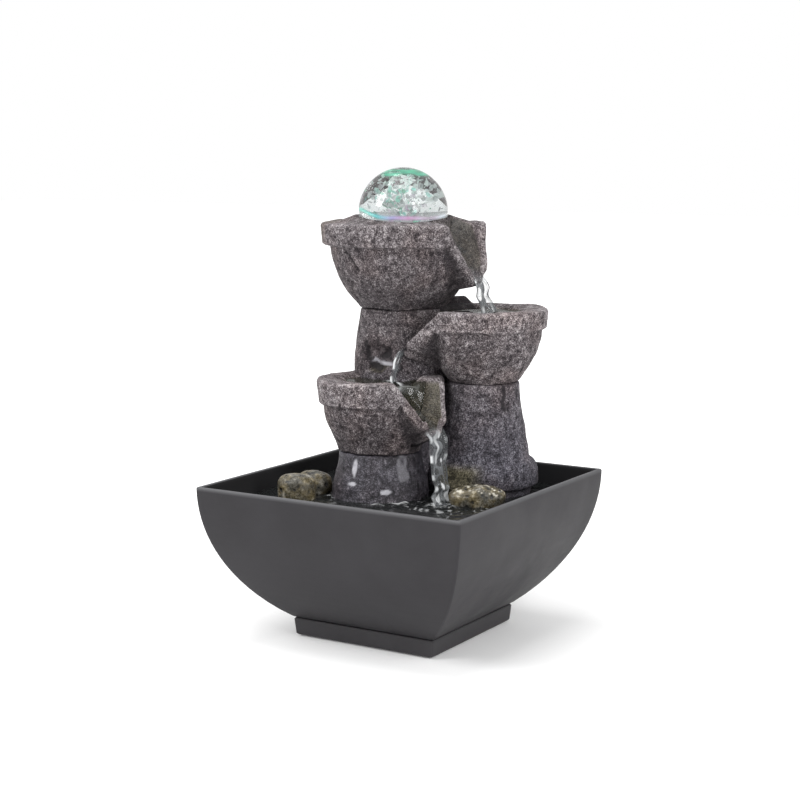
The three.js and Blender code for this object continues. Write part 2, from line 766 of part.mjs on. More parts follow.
function pumpBody() {
  const well = rotorAxisSolid([
    [0, bodyX - 2], [wellRadius, bodyX - 2], [wellRadius, bodyX + wellDepth],
    [0, bodyX + wellDepth],
  ]);
  const sleeve = rotorAxisSolid([
    [0, bodyX], [wellRadius + 1.5, bodyX], [wellRadius + 1.5, bodyX + wellDepth + 1.5],
    [0, bodyX + wellDepth + 1.5],
  ]);
  const pocket = block(
    [bodyX + 3, pumpLeft + casing, pumpBottom + casing],
    [pumpBack + 2, pumpRight - casing, pumpTop - casing]);
  const shell = cut(pumpBox(bodyX, pumpBack), pocket);
  return cut(joined(shell, sleeve), well);
}

// laminations: two legs up beside the rotor well and a yoke through the coil below
const coreX = bodyX + 8;
const coreThick = 14;
const legOut = PUMP_WIDTH / 2 - casing - GAP;
const yokeHeight = 6;
const coreLow = pumpBottom + casing + 3;
const boreForWell = wellRadius + 1.5 + GAP;

function statorCore() {
  const outline = block(
    [coreX, PUMP.y - legOut, coreLow],
    [coreX + coreThick, PUMP.y + legOut, pumpTop - casing - GAP]);
  const window = block(
    [coreX - 1, PUMP.y - legOut + 5, coreLow + yokeHeight],
    [coreX + coreThick + 1, PUMP.y + legOut - 5, rotorZ]);
  const wellWay = rotorAxisSolid([
    [0, coreX - 2], [boreForWell, coreX - 2], [boreForWell, coreX + coreThick + 2],
    [0, coreX + coreThick + 2],
  ]);
  const slit = block([coreX - 1, PUMP.y - 2, rotorZ], [coreX + coreThick + 1, PUMP.y + 2, pumpTop]);
  return cut(outline, window, wellWay, slit);
}

function statorCoil() {
  const half = legOut - 5 - GAP;
  const outer = block(
    [coreX - 2.6, PUMP.y - half, coreLow - 2.4],
    [coreX + coreThick + 2.6, PUMP.y + half, coreLow + yokeHeight + 2.6]);
  const yoke = block(
    [coreX - GAP, PUMP.y - half - 1, coreLow - GAP],
    [coreX + coreThick + GAP, PUMP.y + half + 1, coreLow + yokeHeight + GAP]);
  return cut(outer, yoke);
}

const pottingFront = Math.max(bodyX + wellDepth + 1.5, coreX + coreThick + 2.6) + GAP;

function potting() {
  const plate = block(
    [pottingFront, pumpLeft + casing + GAP, pumpBottom + casing + GAP],
    [pumpBack, pumpRight - casing - GAP, pumpTop - casing - GAP]);
  const glandWay = turnedAlongX(
    [[0, pottingFront - 1], [3.4, pottingFront - 1], [3.4, pumpBack + 1], [0, pumpBack + 1]],
    PUMP.y, pumpBottom + 9, 20);
  return cut(plate, glandWay);
}

// strain-free gland where the pump's own cord would come out
function cordGland() {
  const start = pottingFront;
  return turnedAlongX([
    [1.7, start], [3.4 - GAP, start], [3.4 - GAP, pumpBack + GAP], [4.6, pumpBack + GAP],
    [3.6, pumpBack + 6], [1.7, pumpBack + 6], [1.7, start],
  ], PUMP.y, pumpBottom + 9, 20);
}

const shaftBack = bodyX + wellDepth - GAP;
const intakeWall = 2;
const shaftFront = voluteFront + intakeWall + GAP;
const bushRadius = 3;
const bushLength = 3;

function rotorMagnet() {
  return rotorAxisSolid([
    [SHAFT_RADIUS + GAP, bodyX + 1],
    [ROTOR_RADIUS, bodyX + 1],
    [ROTOR_RADIUS, bodyX + 1 + ROTOR_LENGTH],
    [SHAFT_RADIUS + GAP, bodyX + 1 + ROTOR_LENGTH],
    [SHAFT_RADIUS + GAP, bodyX + 1],
  ]);
}

function impeller() {
  const back = voluteX - 2 * GAP;
  const neckEnd = bodyX + 1 - GAP;
  const front = voluteFront + intakeWall + bushLength + 1;
  const hubRadius = 3.4;
  const hub = rotorAxisSolid([
    [0, front], [hubRadius, front], [hubRadius, back - 1.2], [IMPELLER_RADIUS, back - 1.2],
    [IMPELLER_RADIUS, back], [hubRadius, back], [hubRadius, neckEnd], [0, neckEnd],
  ]);
  const blades = [0, 60, 120].map((angle) => {
    const blade = new THREE.BoxGeometry(back - front - 1, 2 * IMPELLER_RADIUS, 1.2);
    return blade.rotateX(angle * DEG).translate((back + front) / 2, PUMP.y, rotorZ);
  });
  const bore = rotorAxisSolid([
    [0, front - 2], [SHAFT_RADIUS + GAP, front - 2], [SHAFT_RADIUS + GAP, neckEnd + 2],
    [0, neckEnd + 2],
  ]);
  return cut(joined(hub, ...blades), bore);
}

function bush(lowX) {
  return rotorAxisSolid([
    [SHAFT_RADIUS + GAP, lowX], [bushRadius, lowX], [bushRadius, lowX + bushLength],
    [SHAFT_RADIUS + GAP, lowX + bushLength], [SHAFT_RADIUS + GAP, lowX],
  ], 16);
}

function shaft() {
  return rotorAxisSolid([
    [0, shaftFront], [SHAFT_RADIUS, shaftFront], [SHAFT_RADIUS, shaftBack], [0, shaftBack],
  ], 16);
}

const voluteRadius = IMPELLER_RADIUS + 1;

function volute() {
  const box = pumpBox(voluteFront, voluteX);
  const spigot = turned([
    [0, pumpTop - 4], [TUBE_RADIUS - TUBE_WALL - GAP, pumpTop - 4],
    [TUBE_RADIUS - TUBE_WALL - GAP, spigotTop], [0, spigotTop],
  ], PUMP.x, PUMP.y, 20);
  const chamber = rotorAxisSolid([
    [0, voluteFront + intakeWall], [voluteRadius, voluteFront + intakeWall],
    [voluteRadius, voluteX + 1], [0, voluteX + 1],
  ], 32);
  const intakes = [45, 135, 225, 315].map((angle) => turnedAlongX(
    [[0, voluteFront - 1], [2, voluteFront - 1], [2, voluteFront + intakeWall + 1],
      [0, voluteFront + intakeWall + 1]],
    PUMP.y + 6 * Math.cos(angle * DEG), rotorZ + 6 * Math.sin(angle * DEG), 14));
  const outletBore = disc(2.2, rotorZ + 4, spigotTop + 1, PUMP.x, PUMP.y, 16);
  return cut(joined(box, spigot), chamber, ...intakes, outletBore);
}

const strainerBack = voluteFront - GAP;
const strainerFront = strainerBack - STRAINER_DEPTH;
const strainerWall = 1.8;

function strainer() {
  const box = pumpBox(strainerFront, strainerBack);
  const inside = block(
    [strainerFront + strainerWall, pumpLeft + strainerWall, pumpBottom + strainerWall],
    [strainerBack + 1, pumpRight - strainerWall, pumpTop - strainerWall]);
  const slots = [-12, -8, 8, 12].map((offset) => block(
    [strainerFront - 1, PUMP.y + offset - 1.1, pumpBottom + 6],
    [strainerFront + strainerWall + 1, PUMP.y + offset + 1.1, pumpTop - 6]));
  const dialHole = turnedAlongX(
    [[0, strainerFront - 1], [2.4, strainerFront - 1], [2.4, strainerFront + 4],
      [0, strainerFront + 4]],
    PUMP.y, rotorZ, 16);
  return cut(box, inside, ...slots, dialHole);
}

// turning disc with a pointer outside, a stem through the strainer and a shutter inside
function flowDial() {
  const outside = strainerFront - GAP;
  const inside = strainerFront + strainerWall + GAP;
  const knob = turnedAlongX([
    [0, outside - 3], [DIAL_RADIUS - 1, outside - 3], [DIAL_RADIUS, outside - 2],
    [DIAL_RADIUS, outside], [2.1, outside], [2.1, inside], [DIAL_RADIUS - 1, inside],
    [DIAL_RADIUS - 1, inside + 1.2], [0, inside + 1.2],
  ], PUMP.y, rotorZ, 28);
  const grip = block(
    [outside - 5, PUMP.y - 1, rotorZ - DIAL_RADIUS + 1.5],
    [outside - 2.5, PUMP.y + 1, rotorZ + DIAL_RADIUS - 1.5]);
  return joined(knob, grip);
}

function suctionCup(x, y) {
  const foot = floorZ + GAP;
  const top = foot + CUP_HEIGHT;
  return turned([
    [0, foot + 1], [3.5, foot + 0.8], [5.4, foot], [6, foot], [3.4, foot + 2.4], [2.6, top],
    [0, top],
  ], x, y, 16);
}

add('pump_body', pumpBody(), 'pumpPlastic');
add('stator_core', statorCore(), 'steel');
add('stator_coil', statorCoil(), 'copper');
add('pump_potting', potting(), 'potting');
add('pump_cord_gland', cordGland(), 'blackRubber');
add('volute_cover', volute(), 'pumpPlastic');
add('rotor_shaft', shaft(), 'ceramic');
add('rotor_front_bush', bush(shaftFront), 'blackRubber');
add('rotor_rear_bush', bush(shaftBack - bushLength), 'blackRubber');
add('rotor_magnet', rotorMagnet(), 'ferrite');
add('impeller', impeller(), 'whitePlastic');
add('strainer_cover', strainer(), 'pumpPlastic');
add('flow_dial', flowDial(), 'whitePlastic');
const cupNames = ['suction_cup_a', 'suction_cup_b', 'suction_cup_c', 'suction_cup_d'];
corners.forEach(([sx, sy], i) => add(cupNames[i], suctionCup(
  bodyX + PUMP_LENGTH / 2 + sx * 11, PUMP.y + sy * 7), 'blackRubber'));

export default fountain;
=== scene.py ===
"""Tabletop water fountain: finished surfaces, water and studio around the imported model.

Lengths inside the script are millimetres in the model's own frame; surface() turns them into
metres. Every shape is worked out as whole numpy arrays.
"""
import math
from collections import namedtuple

import bpy
import numpy as np
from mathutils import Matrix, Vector

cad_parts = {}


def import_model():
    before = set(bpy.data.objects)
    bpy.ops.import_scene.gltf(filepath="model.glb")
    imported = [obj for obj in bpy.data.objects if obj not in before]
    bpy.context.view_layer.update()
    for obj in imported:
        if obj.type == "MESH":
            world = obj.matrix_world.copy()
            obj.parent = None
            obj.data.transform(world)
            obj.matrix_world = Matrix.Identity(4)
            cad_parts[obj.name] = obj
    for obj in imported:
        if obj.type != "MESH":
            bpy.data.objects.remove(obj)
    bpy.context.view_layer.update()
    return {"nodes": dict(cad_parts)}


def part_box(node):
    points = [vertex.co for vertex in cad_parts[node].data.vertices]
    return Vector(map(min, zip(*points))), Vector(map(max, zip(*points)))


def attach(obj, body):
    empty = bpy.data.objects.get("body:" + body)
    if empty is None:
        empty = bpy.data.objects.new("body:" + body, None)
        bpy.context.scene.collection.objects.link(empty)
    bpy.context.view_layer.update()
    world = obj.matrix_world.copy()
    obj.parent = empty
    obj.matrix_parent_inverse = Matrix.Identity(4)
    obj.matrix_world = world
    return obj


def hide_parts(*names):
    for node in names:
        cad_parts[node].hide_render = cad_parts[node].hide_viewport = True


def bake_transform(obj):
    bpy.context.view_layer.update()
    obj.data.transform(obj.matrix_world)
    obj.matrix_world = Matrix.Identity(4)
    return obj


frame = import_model()

MM = 0.001
TAU = 2 * math.pi


def node_box(name):
    """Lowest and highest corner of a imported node, in millimetres."""
    low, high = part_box(name)
    return np.array(low) / MM, np.array(high) / MM


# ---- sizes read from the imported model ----

basin_low, basin_high = node_box("basin")
plinth_low, plinth_high = node_box("plinth")
ball_low, ball_high = node_box("crystal_ball")

RIM_HALF = basin_high[0]
RIM_Z = basin_high[2]
BASIN_FOOT_Z = basin_low[2]
PLINTH_LOW_Z = plinth_low[2]
DECK_Z = node_box("sculpture_base")[1][2]
WATER_Z = DECK_Z + 4
BALL = (ball_low + ball_high) / 2
BALL_RADIUS = (ball_high[2] - ball_low[2]) / 2

BASIN_WALL = 3
WALL_LEAN = RIM_HALF - plinth_high[0]
WALL_RISE = RIM_Z - BASIN_FOOT_Z
WALL_RADIUS = (WALL_LEAN ** 2 + WALL_RISE ** 2) / (2 * WALL_LEAN)     # of the wall's arc
ARC_CENTRE = RIM_HALF - WALL_RADIUS
JOINT = 0.3                        # between a casting and what it stands on
STAND_Z = DECK_Z + JOINT

# rim_r, belly_r and foot_r are radii; band is the straight part under the rim; fullness bends the
# belly's curve; heading is the way the spout faces
Bowl = namedtuple("Bowl", "x y rim_z rim_r heading height band belly_r foot_r fullness")
TALL = Bowl(-26.5, 41.5, RIM_Z + 165.6, 55.5, 2, 56.7, 14, 49, 28.8, 0.9)
MIDDLE = Bowl(30.6, 50.4, RIM_Z + 109.6, 43.5, 224, 48, 12.5, 39.2, 23.5, 0.95)
LOW = Bowl(-20.5, 2.5, RIM_Z + 64.9, 42, -8, 47.3, 15, 39.8, 27.3, 1.3)

# u runs outwards from the bowl's axis: the crests leave the rim at crest_u and end at reach,
# drop below the rim at the lip; start_ says where the trough's floor begins
Spout = namedtuple("Spout", "crest_u reach drop lip_depth lip_half wall start_u start_half "
                            "start_drop")
TALL_SPOUT = Spout(48, 57, 36.5, 8, 7, 5, 30, 9, 5)
MIDDLE_SPOUT = Spout(37, 54, 27, 7, 6, 5, 14, 9, 8)
LOW_SPOUT = Spout(34, 47, 31, 7, 6, 5, 12, 9, 9)

# ---- camera, light and floor ----

AZIMUTH = math.radians(31.66)
ELEVATION = math.radians(8.54)
DISTANCE = 1160.9
LENS = 78.26
WORLD_LIGHT, BACKDROP = 0.72, 1.0    # the world's strength as a light, and as it is seen
TARGET_RIGHT, TARGET_UP = -2.97, 151.44    # from the middle of the plinth's foot


def placed(name, data):
    """A new object in the scene."""
    obj = bpy.data.objects.new(name, data)
    bpy.context.scene.collection.objects.link(obj)
    return obj


def aim(obj, place, target):
    """Put an object at place with its -Z axis towards target, both in millimetres."""
    place, target = Vector(place) * MM, Vector(target) * MM
    obj.location = place
    obj.rotation_euler = (target - place).to_track_quat("-Z", "Y").to_euler()


def camera():
    right = np.array([math.cos(AZIMUTH), math.sin(AZIMUTH), 0])
    back = np.array([math.sin(AZIMUTH) * math.cos(ELEVATION),
                     -math.cos(AZIMUTH) * math.cos(ELEVATION), math.sin(ELEVATION)])
    up = np.cross(back, right)
    target = right * TARGET_RIGHT + up * TARGET_UP + np.array([0, 0, PLINTH_LOW_Z])
    data = bpy.data.cameras.new("camera")
    data.lens = LENS
    data.sensor_width = 36
    data.clip_start = 0.01
    obj = placed("camera", data)
    aim(obj, target + back * DISTANCE, target)
    bpy.context.scene.camera = obj


def softbox(name, place, target, size, watts):
    data = bpy.data.lights.new(name, "AREA")
    data.shape = "RECTANGLE"
    data.size, data.size_y = size[0] * MM, size[1] * MM
    data.energy = watts
    aim(placed(name, data), place, target)


def studio():
    softbox("softbox_left", (-700, -900, 900), (0, 0, 150), (420, 760), 10)
    softbox("softbox_right", (1000, -420, 620), (0, 0, 130), (360, 700), 6.5)
    softbox("softbox_top", (-100, 0, 1300), (0, 0, 100), (800, 800), 9)
    world = bpy.data.worlds.new("studio")
    world.use_nodes = True
    nodes, links = world.node_tree.nodes, world.node_tree.links
    seen = nodes.new("ShaderNodeLightPath").outputs["Is Camera Ray"]
    level = nodes.new("ShaderNodeMapRange")
    level.inputs["To Min"].default_value = WORLD_LIGHT
    level.inputs["To Max"].default_value = BACKDROP
    links.new(seen, level.inputs["Value"])
    nodes["Background"].inputs["Color"].default_value = (1, 1, 1, 1)
    links.new(level.outputs["Result"], nodes["Background"].inputs["Strength"])
    bpy.context.scene.world = world
    bpy.context.scene.view_settings.view_transform = "Standard"


# ---- finishes ----

class Finish:
    """A node material on Object coordinates, built up one pattern at a time."""

    def __init__(self, name, roughness=0.5, metallic=0.0, ior=1.5, **sockets):
        self.material = bpy.data.materials.new(name)
        self.material.use_nodes = True
        self.nodes = self.material.node_tree.nodes
        self.links = self.material.node_tree.links
        self.shader = self.nodes["Principled BSDF"]
        self.place = self.nodes.new("ShaderNodeTexCoord").outputs["Object"]
        self.set("Roughness", roughness)
        self.set("Metallic", metallic)
        self.set("IOR", ior)
        for socket, value in sockets.items():
            self.set(socket.replace("_", " "), value)

    def feed(self, socket, value):
        """Set a socket to a constant, or link a pattern to it."""
        if isinstance(value, bpy.types.NodeSocket):
            self.links.new(value, socket)
        elif isinstance(value, tuple):
            socket.default_value = (*value, 1)[:len(socket.default_value)]
        else:
            socket.default_value = value

    def set(self, socket, value):
        self.feed(self.shader.inputs[socket], value)

    def node(self, kind, **inputs):
        """A new node with its inputs fed; an underscore stands for a space."""
        node = self.nodes.new("ShaderNode" + kind)
        for name, value in inputs.items():
            self.feed(node.inputs[name.replace("_", " ")], value)
        return node

    def stretched(self, scale):
        """Object coordinates scaled along each axis, for grain and brush marks."""
        return self.node("Mapping", Vector=self.place, Scale=scale).outputs["Vector"]

    def noise(self, size, detail=3.0, rough=0.55, vector=None):
        """Cloudy noise whose features are about size millimetres across."""
        return self.node("TexNoise", Scale=1 / (size * MM), Detail=detail, Roughness=rough,
                         Vector=vector or self.place).outputs["Fac"]

    def cells(self, size):
        """Distance pattern of scattered cells about size millimetres apart."""
        return self.node("TexVoronoi", Scale=1 / (size * MM),
                         Vector=self.place).outputs["Distance"]

    def attribute(self, name):
        node = self.node("Attribute")
        node.attribute_name = name
        return node.outputs["Fac"]

    def ramp(self, value, *stops):
        """Colour or grey that changes along the value; stops are (position, colour)."""
        node = self.nodes.new("ShaderNodeValToRGB")
        elements = node.color_ramp.elements
        while len(elements) < len(stops):
            elements.new(0.5)
        for element, (position, colour) in zip(elements, stops):
            element.position = position
            grey = (colour,) * 3 if isinstance(colour, (int, float)) else colour
            element.color = (*grey, 1)
        self.links.new(value, node.inputs["Fac"])
        return node.outputs["Color"]

    def spread(self, value, low, high, to_low=0.0, to_high=1.0):
        """The value carried from low..high to to_low..to_high and held there."""
        return self.node("MapRange", Value=value, From_Min=low, From_Max=high, To_Min=to_low,
                         To_Max=to_high).outputs["Result"]

    def mix(self, factor, a, b, blend="MIX"):
        node = self.node("Mix")
        node.data_type = "RGBA"
        node.blend_type = blend
        for k, value in ((0, factor), (6, a), (7, b)):
            self.feed(node.inputs[k], value)
        return node.outputs[2]

    def maths(self, operation, a, b):
        node = self.node("Math")
        node.operation = operation
        self.feed(node.inputs[0], a)
        self.feed(node.inputs[1], b)
        return node.outputs[0]

    def total(self, first, *others):
        for other in others:
            first = self.maths("ADD", first, other)
        return first

    def bump(self, height, depth, strength):
        """Small relief from a height pattern, depth in millimetres."""
        node = self.node("Bump", Strength=strength, Distance=depth * MM, Height=height)
        self.links.new(node.outputs["Normal"], self.shader.inputs["Normal"])


def cast_stone():
    """Cast resin stone: a fine light stipple over brown grey, worn peaks and dark pits from the
    relief; wet stone is darker and shines; olive marks algae; lilac is the bluish tint low down on
    the castings; band is the rim, lighter partly from wear and partly from a painted highlight
    along its edges; dark takes the colour towards near black, mostly as painted shade in cracks,
    hollows and under rims; the highlight mark is a painted highlight where a film of water catches
    the light."""
    f = Finish("cast_stone")
    wet = f.attribute("wet")
    fine = f.noise(0.8, 3, 0.7)
    grain = f.noise(2.0, 3, 0.65)
    runs = f.noise(5, 3, 0.6, f.stretched((1, 1, 0.4)))
    value = f.total(f.spread(f.attribute("relief"), 0, 1, 0.15, 0.68),
                    f.spread(fine, 0.38, 0.62, -0.27, 0.27),
                    f.spread(grain, 0.3, 0.7, -0.17, 0.17),
                    f.spread(runs, 0.3, 0.7, -0.07, 0.07),
                    f.spread(f.cells(3.4), 0.0, 0.26, -0.30, 0.02),
                    # band: wear on the rim, and a painted highlight along its edges
                    f.maths("MULTIPLY", f.attribute("band"), 0.15))
    brown = f.ramp(value, (0.16, (0.014, 0.011, 0.013)), (0.36, (0.060, 0.050, 0.053)),
                   (0.54, (0.102, 0.087, 0.092)), (0.70, (0.235, 0.212, 0.218)),
                   (0.95, (0.46, 0.43, 0.435)))
    blue = f.ramp(value, (0.16, (0.012, 0.012, 0.016)), (0.36, (0.050, 0.047, 0.060)),
                  (0.54, (0.088, 0.084, 0.104)), (0.70, (0.19, 0.185, 0.22)),
                  (0.95, (0.32, 0.315, 0.35)))
    green = f.ramp(value, (0.1, (0.012, 0.011, 0.006)), (0.5, (0.098, 0.085, 0.048)),
                   (0.85, (0.26, 0.235, 0.15)))
    colour = f.mix(f.attribute("lilac"), brown, blue)
    broad = f.spread(f.noise(26, 2, 0.5), 0.45, 0.65, 0, 0.5)
    colour = f.mix(broad, colour, (1.0, 0.86, 0.80), "MULTIPLY")
    colour = f.mix(f.attribute("olive"), colour, green)
    colour = f.mix(wet, colour, (0.50, 0.49, 0.52), "MULTIPLY")
    # painted shade: the dark mark takes the colour towards near black
    colour = f.mix(f.attribute("dark"), colour, (0.010, 0.008, 0.010))
    # painted highlight: the highlight mark takes the colour to pale grey
    colour = f.mix(f.attribute("gleam"), colour, (0.62, 0.61, 0.66))
    f.set("Base Color", colour)
    f.set("Specular IOR Level", 0.35)
    shine = f.maths("SUBTRACT", wet, f.spread(fine, 0.35, 0.65, 0, 0.3))
    f.set("Roughness", f.spread(shine, 0, 1, 0.90, 0.12))
    f.bump(f.total(fine, grain), 0.5, 0.8)
    return f.material


def wet_rock():
    """Ochre and grey in patches, dark in the dents, with painted glints where water on top catches
    the light.
    """
    f = Finish("wet_rock")
    fine = f.noise(1.2, 4, 0.7)
    broad = f.noise(9, 3, 0.6)
    value = f.total(f.attribute("relief"), f.spread(fine, 0.3, 0.7, -0.2, 0.2))
    ochre = f.ramp(value, (0.1, (0.010, 0.008, 0.005)), (0.45, (0.075, 0.060, 0.030)),
                   (0.75, (0.19, 0.155, 0.085)), (1.0, (0.50, 0.46, 0.36)))
    grey = f.ramp(value, (0.1, (0.010, 0.010, 0.009)), (0.5, (0.065, 0.060, 0.045)),
                  (1.0, (0.34, 0.32, 0.28)))
    colour = f.mix(f.spread(broad, 0.42, 0.6), ochre, grey)
    # painted highlight: pale glints where the highlight mark is set
    f.set("Base Color", f.mix(f.attribute("gleam"), colour, (0.72, 0.68, 0.58)))
    f.set("Roughness", f.spread(fine, 0.35, 0.7, 0.16, 0.6))
    f.bump(f.total(fine, broad), 0.6, 0.6)
    return f.material


def moulded_plastic(name, base, light):
    """Moulded charcoal plastic with a fine grain, faint flow clouds and dusty specks; a painted
    highlight where the edge mark is set and painted shade where the inside mark is set.
    """
    f = Finish(name)
    clouds = f.noise(38, 4, 0.6)
    colour = f.mix(f.spread(clouds, 0.35, 0.68), base, light)
    colour = f.mix(f.spread(f.cells(5.5), 0.05, 0.0, 0, 0.5), colour, (0.08, 0.08, 0.085))
    # painted highlight along the rim's top edge
    colour = f.mix(f.attribute("edge"), colour, (0.095, 0.095, 0.10))
    # painted shade on the basin's inner faces
    f.set("Base Color", f.mix(f.attribute("inside"), colour, (0.019, 0.019, 0.020)))
    f.set("Specular IOR Level", 0.2)
    f.set("Roughness", f.spread(clouds, 0.3, 0.7, 0.42, 0.60))
    f.bump(f.noise(0.45, 3, 0.6), 0.06, 0.5)
    return f.material


def plain(name, low, high, roughness, size=3.0, grain=0.4, depth=0.03, **sockets):
    """Even finish: two close colours in soft clouds with a fine surface grain."""
    f = Finish(name, **sockets)
    clouds = f.noise(size, 3)
    f.set("Base Color", f.mix(f.spread(clouds, 0.35, 0.65), low, high))
    f.set("Roughness", f.spread(clouds, 0.3, 0.7, roughness * 0.85, min(1, roughness * 1.15)))
    f.bump(f.noise(grain, 2), depth, 0.5)
    return f.material


def striped(name, metallic, axis, pitch, distortion, stops, cloud, roughness, depth, strength):
    """Thin lines side by side along an axis, pitch millimetres apart: the joints of punched
    plates, or wound wire. stops are the two stops of the colour's ramp."""
    f = Finish(name, metallic=metallic)
    wave = f.node("TexWave", Scale=TAU / (20 * pitch * MM), Distortion=distortion, Vector=f.place)
    wave.bands_direction = axis
    f.set("Base Color", f.ramp(wave.outputs["Fac"], *stops))
    f.set("Roughness", f.spread(f.noise(cloud), 0.3, 0.7, *roughness))
    f.bump(wave.outputs["Fac"], depth, strength)
    return f.material


def water(name, tint, alpha):
    """Thin clear water: mostly see-through, bright where light glances off, white in foam and in
    painted highlights, and hardly seen where it is calm."""
    f = Finish(name, roughness=0.03, ior=1.33)
    froth_and_glint = f.attribute("foam_and_glint")
    # white where the mark is set: foam, and painted highlights on the streams
    f.set("Base Color", f.mix(froth_and_glint, tint, (0.9, 0.92, 0.93)))
    glance = f.node("Fresnel", IOR=1.33)
    body = f.maths("MAXIMUM", f.spread(glance.outputs["Fac"], 0.02, 0.6, alpha, 1.0), froth_and_glint)
    body = f.maths("MULTIPLY", body, f.spread(f.attribute("calm"), 0, 1, 1, 0.12))
    f.set("Alpha", body)
    f.set("Specular IOR Level", 0.9)
    f.bump(f.noise(5, 2), 0.25, 0.35)
    f.material.surface_render_method = "BLENDED"
    return f.material


# ---- shape helpers ----

def hashed(ix, iy, iz, seed):
    """A repeatable random number 0..1 for each integer lattice corner."""
    h = (ix * 73856093) ^ (iy * 19349663) ^ (iz * 83492791) ^ (seed * 2654435761)
    h = (h ^ (h >> 13)) * 1274126177
    h = h ^ (h >> 16)
    return (h & 0xFFFFFF) / float(0xFFFFFF)


def lumps(points, size, seed):
    """Smooth noise -1..1: random values on a cubic lattice of the given size, eased between."""
    q = points / size
    base = np.floor(q)
    f = q - base
    f = f * f * (3 - 2 * f)
    base = base.astype(np.int64)
    total = np.zeros(points.shape[:-1])
    for dx in (0, 1):
        for dy in (0, 1):
            for dz in (0, 1):
                weight = ((f[..., 0] if dx else 1 - f[..., 0])
                          * (f[..., 1] if dy else 1 - f[..., 1])
                          * (f[..., 2] if dz else 1 - f[..., 2]))
                total += weight * hashed(base[..., 0] + dx, base[..., 1] + dy,
                                         base[..., 2] + dz, seed)
    return total * 2 - 1


def ease(x, low, high):
    """0 below low, 1 above high, an S curve between."""
    t = np.clip((x - low) / (high - low), 0, 1)
    return t * t * (3 - 2 * t)


def normals_of(grid, loop_u, loop_v):
    """Unit normals of a grid of points, from the cross product of its two directions."""
    def slope(axis, loop):
        if loop:
            return np.roll(grid, -1, axis) - np.roll(grid, 1, axis)
        return np.gradient(grid, axis=axis)
    n = np.cross(slope(0, loop_u), slope(1, loop_v))
    return n / np.maximum(np.linalg.norm(n, axis=-1, keepdims=True), 1e-9)


def quads_of(nu, nv, loop_v):
    """The four corners of each cell of a grid that is round in its first direction."""
    i, j = np.arange(nu)[:, None], np.arange(nv if loop_v else nv - 1)[None, :]
    i2, j2 = (i + 1) % nu, (j + 1) % nv
    corners = (i * nv + j, i2 * nv + j, i2 * nv + j2, i * nv + j2)
    return np.stack(np.broadcast_arrays(*corners), -1).reshape(-1, 4)


def volume_sign(grid, loop_v):
    """1 where the grid's normals point outwards, -1 where they point in: the sign of the sum
    of a . (b x c) over the two halves of each quad."""
    points = grid.reshape(-1, 3)
    quads = quads_of(*grid.shape[:2], loop_v)
    a, b, c, d = ((points - points.mean(0))[quads[:, k]] for k in range(4))
    return 1.0 if np.einsum("ij,ij->", a, np.cross(b, c) + np.cross(c, d)) > 0 else -1.0


def surface(name, grid, body, material, loop_v=False, marks=None, replaces=()):
    """A closed piece from a grid of points: round in the first direction, and either round in
    the second or closed by a fan to the middle of its first and last rings."""
    nu, nv = grid.shape[:2]
    vertices = grid.reshape(-1, 3)
    faces = quads_of(nu, nv, loop_v).tolist()
    if not loop_v:
        ring = np.arange(nu)
        after = (ring + 1) % nu
        for k, a, b in ((0, after, ring), (nv - 1, ring, after)):
            centre = np.full(nu, len(vertices))
            vertices = np.vstack([vertices, grid[:, k].mean(0)])
            faces += np.stack([centre, a * nv + k, b * nv + k], -1).tolist()
    if volume_sign(grid, loop_v) < 0:
        faces = [face[::-1] for face in faces]
    mesh = bpy.data.meshes.new(name)
    mesh.from_pydata((vertices * MM).tolist(), [], faces)
    mesh.polygons.foreach_set("use_smooth", np.ones(len(mesh.polygons), bool))
    for mark, values in (marks or {}).items():
        layer = mesh.attributes.new(mark, "FLOAT", "POINT")
        filled = np.zeros(len(vertices))
        filled[:nu * nv] = np.clip(values, 0, 1).reshape(-1)
        if not loop_v:
            filled[nu * nv:] = [values[:, 0].mean(), values[:, -1].mean()]
        layer.data.foreach_set("value", filled.astype(np.float32))
    mesh.materials.append(material)
    obj = placed(name, mesh)
    if body:
        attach(obj, body)
    if replaces:
        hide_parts(*replaces)
    return obj


def along_profile(points, counts):
    """Points of a polyline given per column: points is (..., k, 2 or 3) and counts says how
    many steps each stretch takes."""
    parts = []
    for k, count in enumerate(counts):
        t = (np.arange(count) / count)[:, None]
        start, end = points[..., k:k + 1, :], points[..., k + 1:k + 2, :]
        parts.append(start + (end - start) * t)
    parts.append(points[..., -1:, :])
    return np.concatenate(parts, axis=-2)


def softened(line, passes):
    """Each inner point moved to the average of itself, taken twice, and its two neighbours."""
    for _ in range(passes):
        inner = (line[:-2] + 2 * line[1:-1] + line[2:]) / 4
        line = np.concatenate([line[:1], inner, line[-1:]])
    return line


def turns(count):
    """Angles of count even steps round a circle."""
    return np.arange(count) / count * TAU


def directions(around, rings, gap):
    """Unit vectors all round a ball, on a grid that stays gap radians off its two poles."""
    u, v = turns(around)[:, None], np.linspace(gap, math.pi - gap, rings)[None, :]
    return np.stack([np.sin(v) * np.cos(u), np.sin(v) * np.sin(u), -np.cos(v) + 0 * u], -1)


def stippled(points, seed, coarse=1.0):
    """Height of cast stone in millimetres, and its relief 0..1: lumps at four sizes with pits
    pushed in where the smaller ones dip."""
    big = lumps(points, 15, seed) * 0.55 + lumps(points, 7, seed + 1) * 0.35
    small = lumps(points, 3.2, seed + 2)
    fine = lumps(points, 1.7, seed + 3)
    texture = small * 0.55 + fine * 0.45
    pits = ease(-texture, 0.28, 0.62)
    peaks = ease(texture, 0.12, 0.55)
    height = coarse * big + 0.16 * peaks - 0.42 * pits
    relief = 0.50 + 0.10 * big + 0.20 * texture + 0.22 * peaks - 0.42 * pits
    return height, relief


# ---- basin and plinth ----

